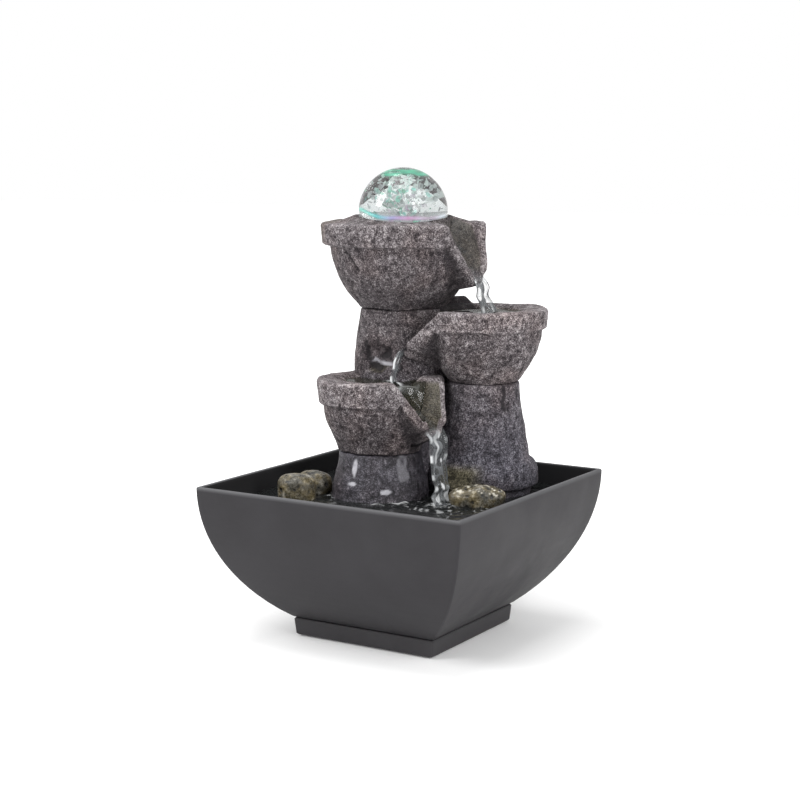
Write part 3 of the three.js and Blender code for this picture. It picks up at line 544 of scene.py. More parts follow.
def rounded_square(half, radius, count):
    """Outlines of squares with rounded corners, one for each half-width and corner radius: a
    quarter circle of eight points at each corner and an even straight run between."""
    arc = 8
    straight = count // 4 - arc
    corners = []
    for k in range(4):
        turn = k * math.pi / 2 - math.pi / 4
        a = turn + (np.arange(arc) / (arc - 1) - 0.5) * math.pi / 2
        away = np.sqrt(2) * np.array([math.cos(turn), math.sin(turn)])
        corners.append(((half - radius)[:, None] * away)[:, None, :]
                       + radius[:, None, None] * np.stack([np.cos(a), np.sin(a)], -1))
    t = ((np.arange(straight) + 1) / (straight + 1))[None, :, None]
    parts = []
    for corner, following in zip(corners, corners[1:] + corners[:1]):
        start, end = corner[:, -1:], following[:, :1]
        parts += [corner, start + (end - start) * t]
    return np.concatenate(parts, 1)


def square_shell(profile, counts, corner, around=320):
    """A profile of (half-width, height) carried round a square with rounded corners."""
    line = along_profile(np.array(profile, float), counts)
    ring = rounded_square(line[:, 0], np.minimum(corner, line[:, 0] * 0.98), around)
    grid = np.concatenate([ring, np.broadcast_to(line[:, None, 1:], ring.shape[:2] + (1,))], -1)
    return np.swapaxes(grid, 0, 1)


def wall_at(z, inset=0.0):
    """Half-width of the basin's wall at a height: an arc whose centre is level with the rim."""
    return ARC_CENTRE + np.sqrt(np.maximum((WALL_RADIUS - inset) ** 2 - (RIM_Z - z) ** 2, 0))


FOOT_HALF = float(wall_at(BASIN_FOOT_Z))


def basin():
    share = np.linspace(0, 1, 18)
    outer = BASIN_FOOT_Z + 0.8 + (WALL_RISE - 1.6) * share
    inner = BASIN_FOOT_Z + BASIN_WALL + (WALL_RISE - BASIN_WALL - 0.8) * share[::-1]
    profile = [(0.5, BASIN_FOOT_Z), (FOOT_HALF - 0.8, BASIN_FOOT_Z), *zip(wall_at(outer), outer),
               (RIM_HALF - 0.5, RIM_Z), (RIM_HALF - BASIN_WALL + 0.5, RIM_Z),
               *zip(wall_at(inner, BASIN_WALL), inner), (0.5, BASIN_FOOT_Z + BASIN_WALL)]
    grid = square_shell(profile, [1, 1, *[3] * 17, 1, 3, 1, *[3] * 17, 1], 1.5)
    wave = lumps(grid, 30, 5) * 0.10
    grid = grid + normals_of(grid, True, False) * wave[..., None]
    z = grid[..., 2]
    half = np.maximum(np.abs(grid[..., 0]), np.abs(grid[..., 1]))
    inside = (half < wall_at(z, BASIN_WALL / 2)) & (z < RIM_Z - 0.4)
    # edge: a painted highlight along the outer top of the rim; inside: painted shade over the inner
    # faces
    edge = ease(z, RIM_Z - 1.6, RIM_Z - 0.3) * (1 - inside)
    plastic = moulded_plastic("basin_plastic", (0.021, 0.0195, 0.022), (0.029, 0.0275, 0.0305))
    surface("basin_shell", grid, "basin", plastic,
            marks={"edge": edge, "inside": inside * 0.85}, replaces=("basin",))


def plinth():
    low, high = PLINTH_LOW_Z, plinth_high[2]
    bottom = FOOT_HALF - 0.9
    profile = [(0.5, low), (bottom - 1, low), (bottom, low + 0.9), (FOOT_HALF, high - 1.2),
               (FOOT_HALF - 0.8, high - 0.1), (FOOT_HALF - 2.2, high - 0.1),
               (bottom - 2.5, low + 2.5), (0.5, low + 2.5)]
    plastic = moulded_plastic("plinth_plastic", (0.032, 0.030, 0.033), (0.042, 0.040, 0.043))
    surface("plinth_tray", square_shell(profile, [1, 2, 8, 2, 1, 4, 1], 1.4), "basin",
            plastic, replaces=("plinth",))


# ---- bowls ----

def local(bowl, x, y):
    """Distances outwards (u) and sideways (v) along a bowl's spout."""
    a = math.radians(bowl.heading)
    dx, dy = x - bowl.x, y - bowl.y
    return dx * math.cos(a) + dy * math.sin(a), dy * math.cos(a) - dx * math.sin(a)


def world(bowl, u, v):
    """The opposite of local()."""
    a = math.radians(bowl.heading)
    return (bowl.x + u * math.cos(a) - v * math.sin(a),
            bowl.y + u * math.sin(a) + v * math.cos(a))


def floor_drop(spout, u):
    """How far the channel's floor lies below the rim, straight from its start to its lip."""
    run = (u - spout.start_u) / (spout.reach - spout.start_u)
    return spout.start_drop + (spout.drop - spout.start_drop) * run


def spout_edge(bowl, spout, phi):
    """For each direction from the bowl's axis: the crest's radius and how far it lies below
    the rim. Round the rim, then down the two crests, then across the lip."""
    notch = math.sqrt(bowl.rim_r ** 2 - spout.crest_u ** 2)
    lip_outer = spout.lip_half + spout.wall
    lip_drop = spout.drop - spout.lip_depth
    phi = np.abs((phi + math.pi) % TAU - math.pi)
    start, end = math.atan2(notch, spout.crest_u), math.atan2(lip_outer, spout.reach)
    du, dv = spout.reach - spout.crest_u, lip_outer - notch
    c, s = np.cos(phi), np.sin(phi)
    crest = (spout.crest_u * dv - notch * du) / np.minimum(c * dv - s * du, -1e-6)
    share = np.clip((crest * c - spout.crest_u) / du, 0, 1)
    lip = spout.reach / np.maximum(c, 0.2)
    v = lip * s
    wall = ease(v, spout.lip_half - 1.5, spout.lip_half + 2.5)
    lip_height = spout.drop - spout.lip_depth * wall
    radius = np.where(phi > start, bowl.rim_r, np.where(phi > end, crest, lip))
    drop = np.where(phi > start, 0, np.where(phi > end, lip_drop * share, lip_height))
    return radius, drop


def channel_height(bowl, spout, x, y, top):
    """Height of the trough cut by the spout: its floor, sides that rise to the crest."""
    u, v = local(bowl, x, y)
    v = np.abs(v)
    run = np.clip((u - spout.start_u) / (spout.reach - spout.start_u), 0, 1)
    floor = bowl.rim_z - floor_drop(spout, np.maximum(u, spout.start_u - 6))
    half = spout.start_half + (spout.lip_half - 2 - spout.start_half) * run
    notch = math.sqrt(bowl.rim_r ** 2 - spout.crest_u ** 2)
    t = np.clip((u - spout.crest_u) / (spout.reach - spout.crest_u), 0, 1)
    outer = notch + (spout.lip_half + spout.wall - notch) * t
    inner = np.minimum(outer - spout.wall, half + 12)
    inner = np.maximum(inner, half + 1.5)
    side = ease(v, half * 0.6, inner)
    height = floor + (top - floor) * side
    return np.where(u > spout.start_u - 6, height, top)


SPOUT_BAND = 7.5                   # thickness of a spout's wall under its crest
LIP_BAND = 4.5                     # and under its lip
POOL_DEPTH = 14


def bowl_grid(bowl, spout, inner_profile, counts, count, lift=0.0, loop=False):
    """Grid of a bowl: the inner profile out to the crest, over it, down the band and the belly
    to the foot. inner_profile is a list of (radius, height); lift raises the rim in each
    direction. Also given back: each point's radius, and for each direction the crest's height,
    the band's thickness and how far the spout has pulled the rim down, 0..1."""
    phi = turns(count)
    edge_r, edge_drop = spout_edge(bowl, spout, phi)
    rim = bowl.rim_z - edge_drop + lift
    bottom = bowl.rim_z - bowl.height
    pulled = ease(edge_drop, 0.0, 6.0)
    at_lip = ease(edge_drop, spout.drop * 0.45, spout.drop * 0.85)
    thick = bowl.band + (SPOUT_BAND - bowl.band) * pulled - (SPOUT_BAND - LIP_BAND) * at_lip
    low_edge = np.maximum(rim - thick, bottom + 5)
    tuck = ease(edge_r - bowl.rim_r, -2, 8) * pulled
    top = low_edge - 1.6 - 7.5 * tuck
    belly_r = np.minimum(bowl.belly_r, edge_r - 4)
    share = np.clip((top - bottom) / (bowl.height - bowl.band - 1.6), 0.05, 1)
    profile = [*inner_profile, (edge_r - 3.6, rim), (edge_r - 0.9, rim - 0.3),
               (edge_r, rim - 1.8), (edge_r - 1.3, low_edge)]
    for u in np.linspace(1, 0, 9):
        swell = np.sin(u * share * math.pi / 2) ** bowl.fullness
        profile.append((bowl.foot_r + (belly_r - bowl.foot_r) * swell,
                        bottom + (top - bottom) * u))
    profile.append(inner_profile[0] if loop else (0.5, bottom))
    columns = [np.stack(np.broadcast_arrays(r, z, phi)[:2], -1) for r, z in profile]
    line = along_profile(np.stack(columns, 1), counts)
    r, z = line[..., 0], line[..., 1]
    way = (phi + math.radians(bowl.heading))[:, None]
    grid = np.stack([bowl.x + r * np.cos(way), bowl.y + r * np.sin(way), z], -1)
    return grid, r, rim[:, None], thick[:, None], pulled[:, None]


def finished_stone(node, grid, slot, seed, loop_v=False, keep=1.0, extra=0.0, **marks):
    """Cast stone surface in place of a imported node: the grid pushed along its normals by
    stipple, with the marks that the finish reads. keep is where the stipple stays, extra is
    added to it."""
    height, relief = stippled(grid, seed)
    normal = normals_of(grid, True, loop_v) * volume_sign(grid, loop_v)
    grid = grid + normal * ((height + extra) * keep)[..., None]
    surface(node + "_stone", grid, "sculpture", STONE, loop_v, {"relief": relief, **marks},
            (node,))


def top_bowl():
    """The bowl round the ball's socket: the collar dips towards the viewing side and behind,
    and rises at the two sides; its trough takes the jet's water to the spout."""
    bowl, spout = TALL, TALL_SPOUT
    rim = bowl.rim_z
    foot = rim - bowl.height
    seat_floor = rim - 44.3
    socket = BALL_RADIUS + 1.4
    inner = [(11.2, foot), (11.2, seat_floor), (socket, seat_floor), (socket, rim + 2.0),
             (socket + 1.0, rim + 3.2), (46, rim - 0.3)]
    counts = [6, 4, 20, 2, 16, 8, 3, 2, 16, 2, *[5] * 8, 12]
    grid, _, crest, thick, pulled = bowl_grid(bowl, spout, inner, counts, 400, loop=True)
    x, y, z = (grid[:, :-1, k] for k in range(3))
    side = np.arctan2(y - bowl.y, x - bowl.x) - (AZIMUTH - math.pi / 2)
    z = z + np.maximum(z - rim, 0) * (-0.03 - 0.59 * np.cos(2 * side))
    start = sum(counts[:4])
    end = start + counts[4] + counts[5] + 1
    lowered = z.copy()
    trough = channel_height(bowl, spout, x, y, np.maximum(z, crest))
    lowered[:, start:end] = np.minimum(z, trough)[:, start:end]
    grid = np.stack([x, y, lowered], -1)
    wet = ease(z - lowered, 0.5, 3)
    u = local(bowl, x, y)[0]
    visible = np.ones_like(z)
    visible[:, :start - 1] = 0
    rust = ease(-np.abs(u + 48), -14, -4) * ease(lowered, rim - 16, rim - 10) * 0.25
    outer = np.arange(z.shape[1])[None, :] >= end
    band, under = band_marks(crest - lowered, thick, pulled, outer)
    # a crack cut into the bowl, its groove painted dark as shade
    shaded_crack = crack_mark(grid, [(-45, -10.5, 257), (-43.2, -4.4, 250), (-38.7, -5.3, 246),
                              (-33, -4.3, 238)], 1.5)
    # painted shade: an even darkening of the whole bowl that deepens towards the bottom of the
    # belly; with the crack, the shade under the band and a darker wet trough it makes the dark mark
    shade = 0.12 + 0.26 * ease(-lowered, 28 - rim, 50 - rim)
    finished_stone("top_bowl", grid, "bowl_stone", 11, True, visible, -1.3 * shaded_crack, band=band,
                   olive=np.clip(wet * 0.55 + rust, 0, 1), wet=wet * 0.9,
                   dark=np.maximum.reduce([shaded_crack * 0.9, under, wet * 0.3, shade]))


def band_marks(below, thick, pulled, outer):
    """Light edges along the crest and the band's lower edge, partly wear and partly painted
    highlight, and painted shade in the undercut below the band, deepest under the spout. below is
    the depth under the crest."""
    crest_edge = np.exp(-(below / 2.6) ** 2)
    low_edge = np.exp(-((below - thick + 0.6) / 1.3) ** 2) * outer
    flat = ease(-below, -thick - 0.8, -thick + 0.8) * outer
    reach = thick + 1.5 + 14 * pulled
    under = ease(below, thick + 0.4, thick + 2.0) * ease(-below, -reach - 2, -reach + 6) * outer
    edges = np.clip(0.45 * flat + 0.65 * crest_edge + 0.4 * low_edge, 0, 1)
    return edges, under * (0.2 + 0.5 * pulled)


def crack_mark(grid, path, width):
    """1 along a broken line in space, fading to 0 at the given distance from it."""
    nearest = np.full(grid.shape[:2], 1e9)
    path = np.array(path, float)
    for a, b in zip(path[:-1], path[1:]):
        t = np.clip(((grid - a) @ (b - a)) / ((b - a) @ (b - a)), 0, 1)
        nearest = np.minimum(nearest, np.linalg.norm(grid - (a + t[..., None] * (b - a)), axis=-1))
    return 1 - ease(nearest + lumps(grid, 2.5, 77) * 0.4, width * 0.35, width)


def pool_height(bowl, radius, depth, r):
    """Inside of a bowl: a flat floor that curves up to the rim."""
    return bowl.rim_z - depth * (1 - ease(r, radius * 0.35, radius * 1.02))


def open_bowl(node, bowl, spout, radius, seed, count, raised=None):
    """A bowl with a pool and a spout; raised is the direction, half angle and height of a stretch
    of rim that stands higher where it leans on the next casting, painted in shade there."""
    rim = bowl.rim_z
    lift = np.zeros(count)
    if raised:
        direction, half_angle, height = raised
        phi = turns(count) + math.radians(bowl.heading)
        away = np.abs((phi - math.radians(direction) + math.pi) % TAU - math.pi)
        lift = height * ease(-away, -math.radians(half_angle), -math.radians(half_angle * 0.7))
    counts = [34, 3, 2, 16, 2, *[5] * 8, 4]
    grid, r, crest, thick, pulled = bowl_grid(bowl, spout, [(0.5, rim - POOL_DEPTH)], counts, count,
                                              lift)
    x, y, z = (grid[..., k] for k in range(3))
    end = counts[0] + 1
    pool = pool_height(bowl, radius, POOL_DEPTH, r)
    side = np.maximum(np.minimum(pool, crest), crest - 8 * (crest > rim))
    pool = np.where(r > radius, side, pool)
    trough = channel_height(bowl, spout, x, y, np.maximum(crest, np.minimum(pool, rim)))
    inside = np.minimum(pool, trough)
    inside = np.minimum(inside, np.where(r > radius, crest, inside))
    z = np.concatenate([inside[:, :end], z[:, end:]], 1)
    grid = np.stack([x, y, z], -1)
    within = np.zeros_like(z)
    within[:, :end] = 1
    below = ease(rim - z, 1.5, 5) * within
    band, under = band_marks(crest - z, thick, pulled, 1 - within)
    # painted shade under the band and over the raised stretch, in the shadow of the casting it
    # leans on
    shade = np.maximum(under, 0.8 * ease(lift, 0.5, 2.5)[:, None] * ease(z, rim - 8, rim - 3))
    finished_stone(node, grid, "bowl_stone", seed, dark=shade, olive=below * 0.8,
                   wet=below * 0.95, band=band)


def turned(bowl, points, counts, around):
    """A pillar: a profile of (radius, height) turned about its bowl's axis."""
    line = softened(along_profile(np.array(points, float), counts), 2)
    phi = turns(around)[:, None]
    r, z = line[None, :, 0], line[None, :, 1]
    return np.stack([bowl.x + r * np.cos(phi), bowl.y + r * np.sin(phi), z + 0 * phi], -1)


def pillar_span(bowl):
    """The height a pillar's bowl stands at, and how far that is above the deck."""
    top = bowl.rim_z - bowl.height - JOINT
    return top, top - STAND_Z


def sides(z, top):
    """1 on a pillar's sides, easing to 0 at the joints under and over it."""
    return ease(z, STAND_Z + 0.4, STAND_Z + 2) * ease(-z, -top + 0.2, -top + 1.2)


def tall_pillar():
    top, h = pillar_span(TALL)
    points = [(11, STAND_Z), (36, STAND_Z), (34, STAND_Z + h * 0.35), (33.2, STAND_Z + h * 0.6),
              (33, STAND_Z + h * 0.72), (31.5, STAND_Z + h * 0.83), (29.5, STAND_Z + h * 0.93),
              (28.6, top), (11, top)]
    grid = turned(TALL, points, [6, 40, 28, 14, 14, 12, 8, 4], 280)
    z = grid[..., 2]
    hollow = grotto_depth(grid)
    grid = grid - outward(grid, TALL) * hollow[..., None]
    lilac = 1 - ease(z, STAND_Z + 30, top - 10)
    wet = ease(hollow, 1, 4) * 0.5 + 0.5 * (1 - ease(z, STAND_Z + 4, STAND_Z + 30))
    # grooves at the grotto's edges, painted dark as the shadow in them
    shaded_cracks = [crack_mark(grid, path, width) for path, width in (
        ([(-38, 12.5, 188), (-36, 13.5, 180.5), (-33.5, 13.5, 174), (-27, 13.5, 172.5)], 3.6),
        ([(-17, 14, 189), (-19.5, 14, 184), (-24.5, 13.5, 180)], 4.0))]
    # painted shade: the grooves near black and the rest of the pillar a little darker
    dark = np.maximum(np.maximum(*shaded_cracks), 0.2)
    # painted highlight where light catches the wet floor of the grotto
    gleam = crack_mark(grid, [(-32, 14, 178.2), (-27.6, 14, 175.7), (-18, 13.5, 175)], 1.6)
    finished_stone("tall_pillar", grid, "pillar_stone", 31, False, sides(z, top),
                   -1.5 * np.maximum(*shaded_cracks), wet=wet, dark=dark * 0.9, lilac=lilac * 0.8,
                   olive=ease(hollow, 1, 4) * ease(-z, -178, -170) * 0.7, gleam=gleam * 0.6)


def outward(grid, bowl):
    """Unit vectors away from a bowl's axis, level."""
    d = grid - np.array([bowl.x, bowl.y, 0.0])
    d[..., 2] = 0
    return d / np.maximum(np.linalg.norm(d, axis=-1, keepdims=True), 1e-6)


def grotto_depth(grid):
    """Depth of the rough hollow in the tall pillar's front, above the low bowl."""
    front = grid[..., 1] < TALL.y
    d = np.sqrt(((grid[..., 0] + 27) / 13) ** 2 + ((grid[..., 2] - 179) / 11) ** 2)
    return 5.5 * (1 - ease(d + lumps(grid, 5, 91) * 0.3, 0.45, 1.05)) * front


def middle_pillar():
    top, h = pillar_span(MIDDLE)
    ring_top, ring_low = STAND_Z + h * 0.32, STAND_Z + h * 0.12
    points = [(0.5, STAND_Z), (33, STAND_Z), (33, ring_low - 2), (37.5, ring_low),
              (37.2, ring_top - 5), (34.5, ring_top), (31.2, ring_top + 2),
              (28.5, STAND_Z + h * 0.58), (26, STAND_Z + h * 0.78), (24, top), (0.5, top)]
    grid = turned(MIDDLE, points, [3, 7, 4, 12, 6, 4, 20, 18, 20, 3], 260)
    z = grid[..., 2]
    ring = ease(z, ring_low - 8, ring_low) * ease(-z, -ring_top - 3, -ring_top + 4)
    near_stream = ease(-np.hypot(grid[..., 0] - 30, grid[..., 1] - 13), -24, -8)
    # a crack down the pillar, shown only as painted shade
    shaded_crack = crack_mark(grid, [(51.9, 39.3, top - 1), (52.8, 39.3, top - 7), (52.6, 37.7, top - 12),
                              (53.6, 38.2, top - 17)], 2.2)
    finished_stone("middle_pillar", grid, "pillar_stone", 41, False, sides(z, top),
                   olive=ring * near_stream * 0.9, dark=shaded_crack * 0.9,
                   wet=0.08 + 0.4 * (1 - ease(z, STAND_Z + 2, ring_low + 6)),
                   lilac=0.35 + 0.5 * (1 - ease(z, ring_top, top)))


def low_pillar():
    top, h = pillar_span(LOW)
    points = [(0.5, STAND_Z), (33.5, STAND_Z), (33, STAND_Z + h * 0.1), (31.6, STAND_Z + h * 0.38),
              (29.6, STAND_Z + h * 0.58), (28.2, STAND_Z + h * 0.78), (27.2, top), (0.5, top)]
    grid = turned(LOW, points, [3, 6, 12, 9, 9, 10, 3], 240)
    z = grid[..., 2]
    turn = np.degrees(np.arctan2(grid[..., 1] - LOW.y, grid[..., 0] - LOW.x))
    rough = lumps(grid * [1, 1, 0.5], 2.4, 55)
    # painted highlights: the softboxes' reflections on the wet pillar, as pale patches
    gleam = np.zeros(z.shape)
    for angle, half, low, high, bright in ((-92, 4, 104, 119, 0.8), (-93, 8, 99, 102, 0.8),
                                           (-51, 9, 94.5, 98, 0.8), (-27, 10, 98, 120, 0.22)):
        inside = np.hypot((turn - angle) / half, (z - (low + high) / 2) / ((high - low) / 2))
        gleam = np.maximum(gleam, bright * (1 - ease(inside + 0.5 * rough, 0.6, 1.0)))
    finished_stone("low_pillar", grid, "pillar_stone", 51, False, sides(z, top), gleam=gleam,
                   wet=np.full(z.shape, 0.7), lilac=np.full(z.shape, 0.75))


def lump_rock(node, seed, power, width, depth, turn, sparkle):
    """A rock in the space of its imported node: a ball whose direction vector is pushed towards
    a rounded box, swollen and dented by lumps, turned about the vertical and cut flat
    underneath."""
    low, high = node_box(node)
    d = directions(120, 70, 0.02)
    box = d / (np.abs(d) ** power).sum(-1, keepdims=True) ** (1 / power)
    bend = 1 + 0.10 * lumps(d * 10, 7, seed)
    a = math.radians(turn)
    axes = np.array([[math.cos(a), math.sin(a), 0], [-math.sin(a), math.cos(a), 0], [0, 0, 1]])
    half = np.array([width / 2, depth / 2, (high - low)[2] / 2])
    grid = (low + high) / 2 + (box * bend[..., None] * half) @ axes
    grid[..., 2] = np.maximum(grid[..., 2], low[2] + 0.1)
    height, relief = stippled(grid, seed, 0.8)
    normal = normals_of(grid, True, False) * volume_sign(grid, False)
    keep = ease(grid[..., 2], low[2] + 0.2, low[2] + 1.5)
    grid = grid + normal * (height * keep)[..., None]
    # painted highlight: glints of water on the rocks' upturned faces
    drop_glints = ease(lumps(grid * [1, 1, 2], 1.9, seed + 5), 0.45, 0.65)
    drop_glints = drop_glints * ease(normal[..., 2], 0.1, 0.5)
    surface(node + "_stone", grid, "sculpture", ROCK, False,
            {"relief": relief, "gleam": drop_glints * sparkle}, (node,))


# ---- water ----

WATER_GAP = 0.35                   # between the basin's wall and its water
LOW_FOOT = (33, -8)                # where the low bowl's stream meets the basin's water
MIDDLE_LANDING = (36.4, 44.8)      # where the top stream lands in the middle bowl
LOW_LANDING = (-12.8, 7.4)         # and the middle stream in the low bowl


def pool_level(bowl):
    return bowl.rim_z - 2.6
def basin_water(material):
    """Water that fills the basin: a square with rounded corners shrunk to its middle for the
    top, the wall's own curve down the sides, and flat below. Rings of ripples run out from
    the falling stream and slow lumps cover the rest."""
    around, rings, corner = 420, 100, 2.4
    half = float(wall_at(WATER_Z, BASIN_WALL)) - WATER_GAP
    shares = np.linspace(0.004, 1, rings)
    top = rounded_square(half * shares, np.minimum(corner, half * shares * 0.9), around)
    x, y = top[..., 0], top[..., 1]
    away = np.hypot(x - LOW_FOOT[0], y - LOW_FOOT[1])
    flat = np.stack([x, y, np.zeros_like(x)], -1)
    ripples = 0.75 * np.cos(away * TAU / 8.5 + 1.2 * lumps(flat, 20, 7)) * np.exp(-away / 34)
    chop = 0.42 * lumps(flat, 11, 8) + 0.22 * lumps(flat, 5, 9)
    shore = np.abs(np.hypot(x - LOW.x, y - LOW.y) - 34.5)
    lap = 0.7 * np.exp(-(shore / 2.2) ** 2) * (0.5 + lumps(flat, 7, 10))
    rise = (ripples + chop + lap) * (0.35 + 0.65 * ease(-np.abs(y), -90, -20))
    foam_and_glint = np.maximum.reduce([
        ease(-away, -13, -5) * ease(lumps(flat, 2.6, 12), -0.1, 0.35),
        0.9 * np.exp(-(shore / 1.6) ** 2) * ease(lumps(flat, 5, 13), 0.35, 0.6),
        0.5 * ease(lumps(flat, 2.6, 14) + 0.5 * lumps(flat, 13, 15), 0.66, 0.85)
        * ease(-away, -55, -20)])
    side_z = np.linspace(WATER_Z - 1, BASIN_FOOT_Z + BASIN_WALL + 0.5, 24)
    side = rounded_square(wall_at(side_z, BASIN_WALL) - WATER_GAP, np.full(24, corner), around)
    under = side[-1:] * np.array([0.6, 0.01])[:, None, None]
    outline = np.concatenate([top, side, under])
    sunk = np.repeat(np.append(side_z, [side_z[-1]] * 2)[:, None], around, 1)
    height = np.concatenate([WATER_Z + rise, sunk])
    grid = np.swapaxes(np.concatenate([outline, height[..., None]], -1), 0, 1)
    marks = np.zeros(grid.shape[:2])
    marks[:, :rings] = foam_and_glint.T
    surface("basin_water", grid, "basin", material, marks={"foam_and_glint": marks})


def pool_water(name, bowl, spout, radius, splash, material):
    """Water in a bowl: a disc whose height ripples out from where the stream lands and sinks
    with the trough's floor, closed a little below."""
    rings = 44
    phi = turns(160)[:, None]
    r = np.concatenate([np.linspace(0.2, radius, rings), [radius, radius * 0.5]])[None, :]
    x, y = bowl.x + r * np.cos(phi), bowl.y + r * np.sin(phi)
    away = np.hypot(x - splash[0], y - splash[1])
    flat = np.stack([x, y, np.zeros_like(x)], -1)
    rise = 0.5 * np.cos(away * TAU / 6.5) * np.exp(-away / 16) + 0.3 * lumps(flat, 6, 21)
    z = np.minimum(pool_level(bowl) + rise, channel_height(bowl, spout, x, y, bowl.rim_z) + 0.8)
    z[:, rings:] = z[:, rings - 1:rings] - 3
    foam_and_glint = np.maximum(ease(-away, -8, -3) * ease(lumps(flat, 2.2, 22), -0.1, 0.4),
                      0.7 * ease(lumps(flat, 3, 23), 0.62, 0.8) * ease(-away, -24, -8))
    surface(name, np.stack([x, y, z], -1), "sculpture", material,
            marks={"foam_and_glint": foam_and_glint})


def stream(name, path, across, widths, depths, seed, material, strands, body="sculpture"):
    """Falling water: a flattened ring carried along the path. Its width and depth change
    along the way, its edges are thick strands, and slow lumps twist and pinch it. Its edges
    and some blobs are painted white, partly foam and partly painted highlight. It stays
    clear and calm up to the lip."""
    path = np.array(path, float)
    step = np.concatenate([[0], np.cumsum(np.linalg.norm(np.diff(path, axis=0), axis=1))])
    at = np.linspace(0, step[-1], 110)
    line = np.stack([np.interp(at, step, path[:, k]) for k in range(3)], -1)
    line = softened(line, 6)
    share = at / at[-1]
    width = np.interp(share, np.linspace(0, 1, len(widths)), widths)
    depth = np.interp(share, np.linspace(0, 1, len(depths)), depths)
    along = np.gradient(line, axis=0)
    along /= np.linalg.norm(along, axis=1, keepdims=True)
    side = np.array([*across, 0.0]) / np.linalg.norm(across)
    face = np.cross(along, side)
    a = turns(64)[:, None]
    where = np.stack(np.broadcast_arrays(np.cos(a) * 4, at[None, :] * 0.42, np.sin(a) * 2), -1)
    wobble = lumps(where, 3.1, seed)
    c, s = np.cos(a), np.sin(a)
    ridge = 1 + strands * (np.exp(-((np.abs(c) - 0.86) / 0.16) ** 2) - 0.35) + 0.45 * wobble
    half_w = width[None, :] / 2 * (1 + 0.16 * lumps(where * [0.2, 1, 0.2], 2.4, seed + 1))
    half_d = depth[None, :] / 2 * np.maximum(ridge, 0.15)
    offset = 0.5 * depth[None, :] * lumps(where * [1, 1, 0], 2.2, seed + 2)
    grid = (line[None] + side * (half_w * c)[..., None]
            + face[None] * (half_d * s + offset)[..., None])
    torn = lumps(where * [0.3, 1, 0.3], 1.6, seed + 3)
    edge = ease(np.abs(c), 0.80, 0.97) * ease(torn, -0.35, 0.3)
    blobs = ease(lumps(where * [1, 0.55, 1], 1.9, seed + 4), 0.46, 0.62)
    start = step[LIP_POINT] / step[-1]
    fresh = ease(share[None, :], start - 0.05, start + 0.05)
    # white edges and blobs: partly foam, partly painted highlight
    foam_and_glint = np.maximum(edge * 0.9, blobs * 0.8) * fresh
    marks = {"foam_and_glint": foam_and_glint, "calm": np.broadcast_to(1 - fresh, foam_and_glint.shape)}
    return surface(name, grid, body, material, marks=marks)


LIP_POINT = 8                      # the point of spill_path() that lies on the lip


def spill_path(bowl, spout, level, landing, inside):
    """Centre line of a stream: level water in the bowl, down the trough's floor, then the
    curve of a thrown drop from the lip to where it lands."""
    points = []
    for u in np.linspace(spout.start_u - inside, spout.reach + 0.5, LIP_POINT + 1):
        floor = bowl.rim_z - floor_drop(spout, u)
        points.append((*world(bowl, u, 0), min(level - 0.3, floor + 0.7)))
    start, landing = np.array(points[-1]), np.array(landing, float)
    for t in np.linspace(0, 1, 9)[1:]:
        points.append(start + (landing - start) * [t, t, 0.35 * t + 0.65 * t * t])
    return points


# ---- glass ball ----

def glass_ball():
    """Clear ball; a film just inside it carries a painted glow of the lamp's light, green on top
    and cyan to magenta round the waterline; the crackle is a cloud of small tilted flakes."""
    glass = Finish("ball_glass", ior=1.45, Transmission_Weight=1.0)
    cloud = glass.noise(14, 2)
    tint = glass.mix(glass.spread(cloud, 0.3, 0.7), (0.50, 0.53, 0.53), (0.62, 0.65, 0.65))
    glass.set("Base Color", tint)
    glass.set("Roughness", glass.spread(cloud, 0.3, 0.7, 0.0, 0.015))
    d = directions(140, 90, 0.01)
    surface("ball_glass", BALL + d * BALL_RADIUS, "ball", glass.material,
            replaces=("crystal_ball",))
    painted_glow = Finish("ball_painted_glow", roughness=0.15)
    hue = painted_glow.ramp(painted_glow.attribute("hue"), (0.0, (0.10, 0.62, 0.36)), (0.22, (0.12, 0.75, 0.50)),
                    (0.42, (0.20, 0.80, 0.85)), (0.60, (0.62, 0.55, 0.95)),
                    (0.75, (0.95, 0.50, 0.85)), (0.90, (0.85, 0.90, 0.98)))
    painted_glow.set("Base Color", hue)
    # painted glow: the film glows in the lamp's colours
    painted_glow.set("Emission Color", hue)
    painted_glow.set("Emission Strength", 0.55)
    painted_glow.set("Alpha", painted_glow.attribute("glow"))
    painted_glow.material.surface_render_method = "BLENDED"
    z = d[..., 2]
    turn = np.arctan2(d[..., 1], d[..., 0])
    streak = lumps(d * [9, 9, 26], 5, 301)
    cap = ease(z, 0.78, 0.86) * ease(-z, -0.99, -0.93) * ease(streak + 0.25, 0.0, 0.5)
    # the glowing band sits higher or lower by which side of the ball faces the camera
    view = (turn - (AZIMUTH - math.pi / 2) + math.pi) % TAU - math.pi
    height = -0.095 + 0.17 * ease(-view, 0.35, 1.35) + 0.05 * ease(view, 0.6, 1.4)
    line = np.exp(-((z - height - 0.015 * streak) / 0.042) ** 2)
    line = line * ease(np.cos(view), -0.15, 0.15)
    glow = np.maximum(cap * 0.75, line * 0.9 * ease(lumps(d * 20, 8, 302), -0.8, -0.1))
    glow = np.maximum(glow, 0.45 * ease(lumps(d * 24, 4, 303), 0.6, 0.8) * ease(z, 0.1, 0.3))
    hue_line = 0.30 + 0.5 * ease(view, -1.1, 0.4) + 0.12 * ease(view, 0.5, 1.2)
    hue = np.where(z > 0.4, 0.12 + 0.12 * streak, hue_line)
    surface("ball_painted_glow", BALL + d * (BALL_RADIUS - 0.5), "ball", painted_glow.material,
            marks={"hue": hue, "glow": glow})

    flakes()


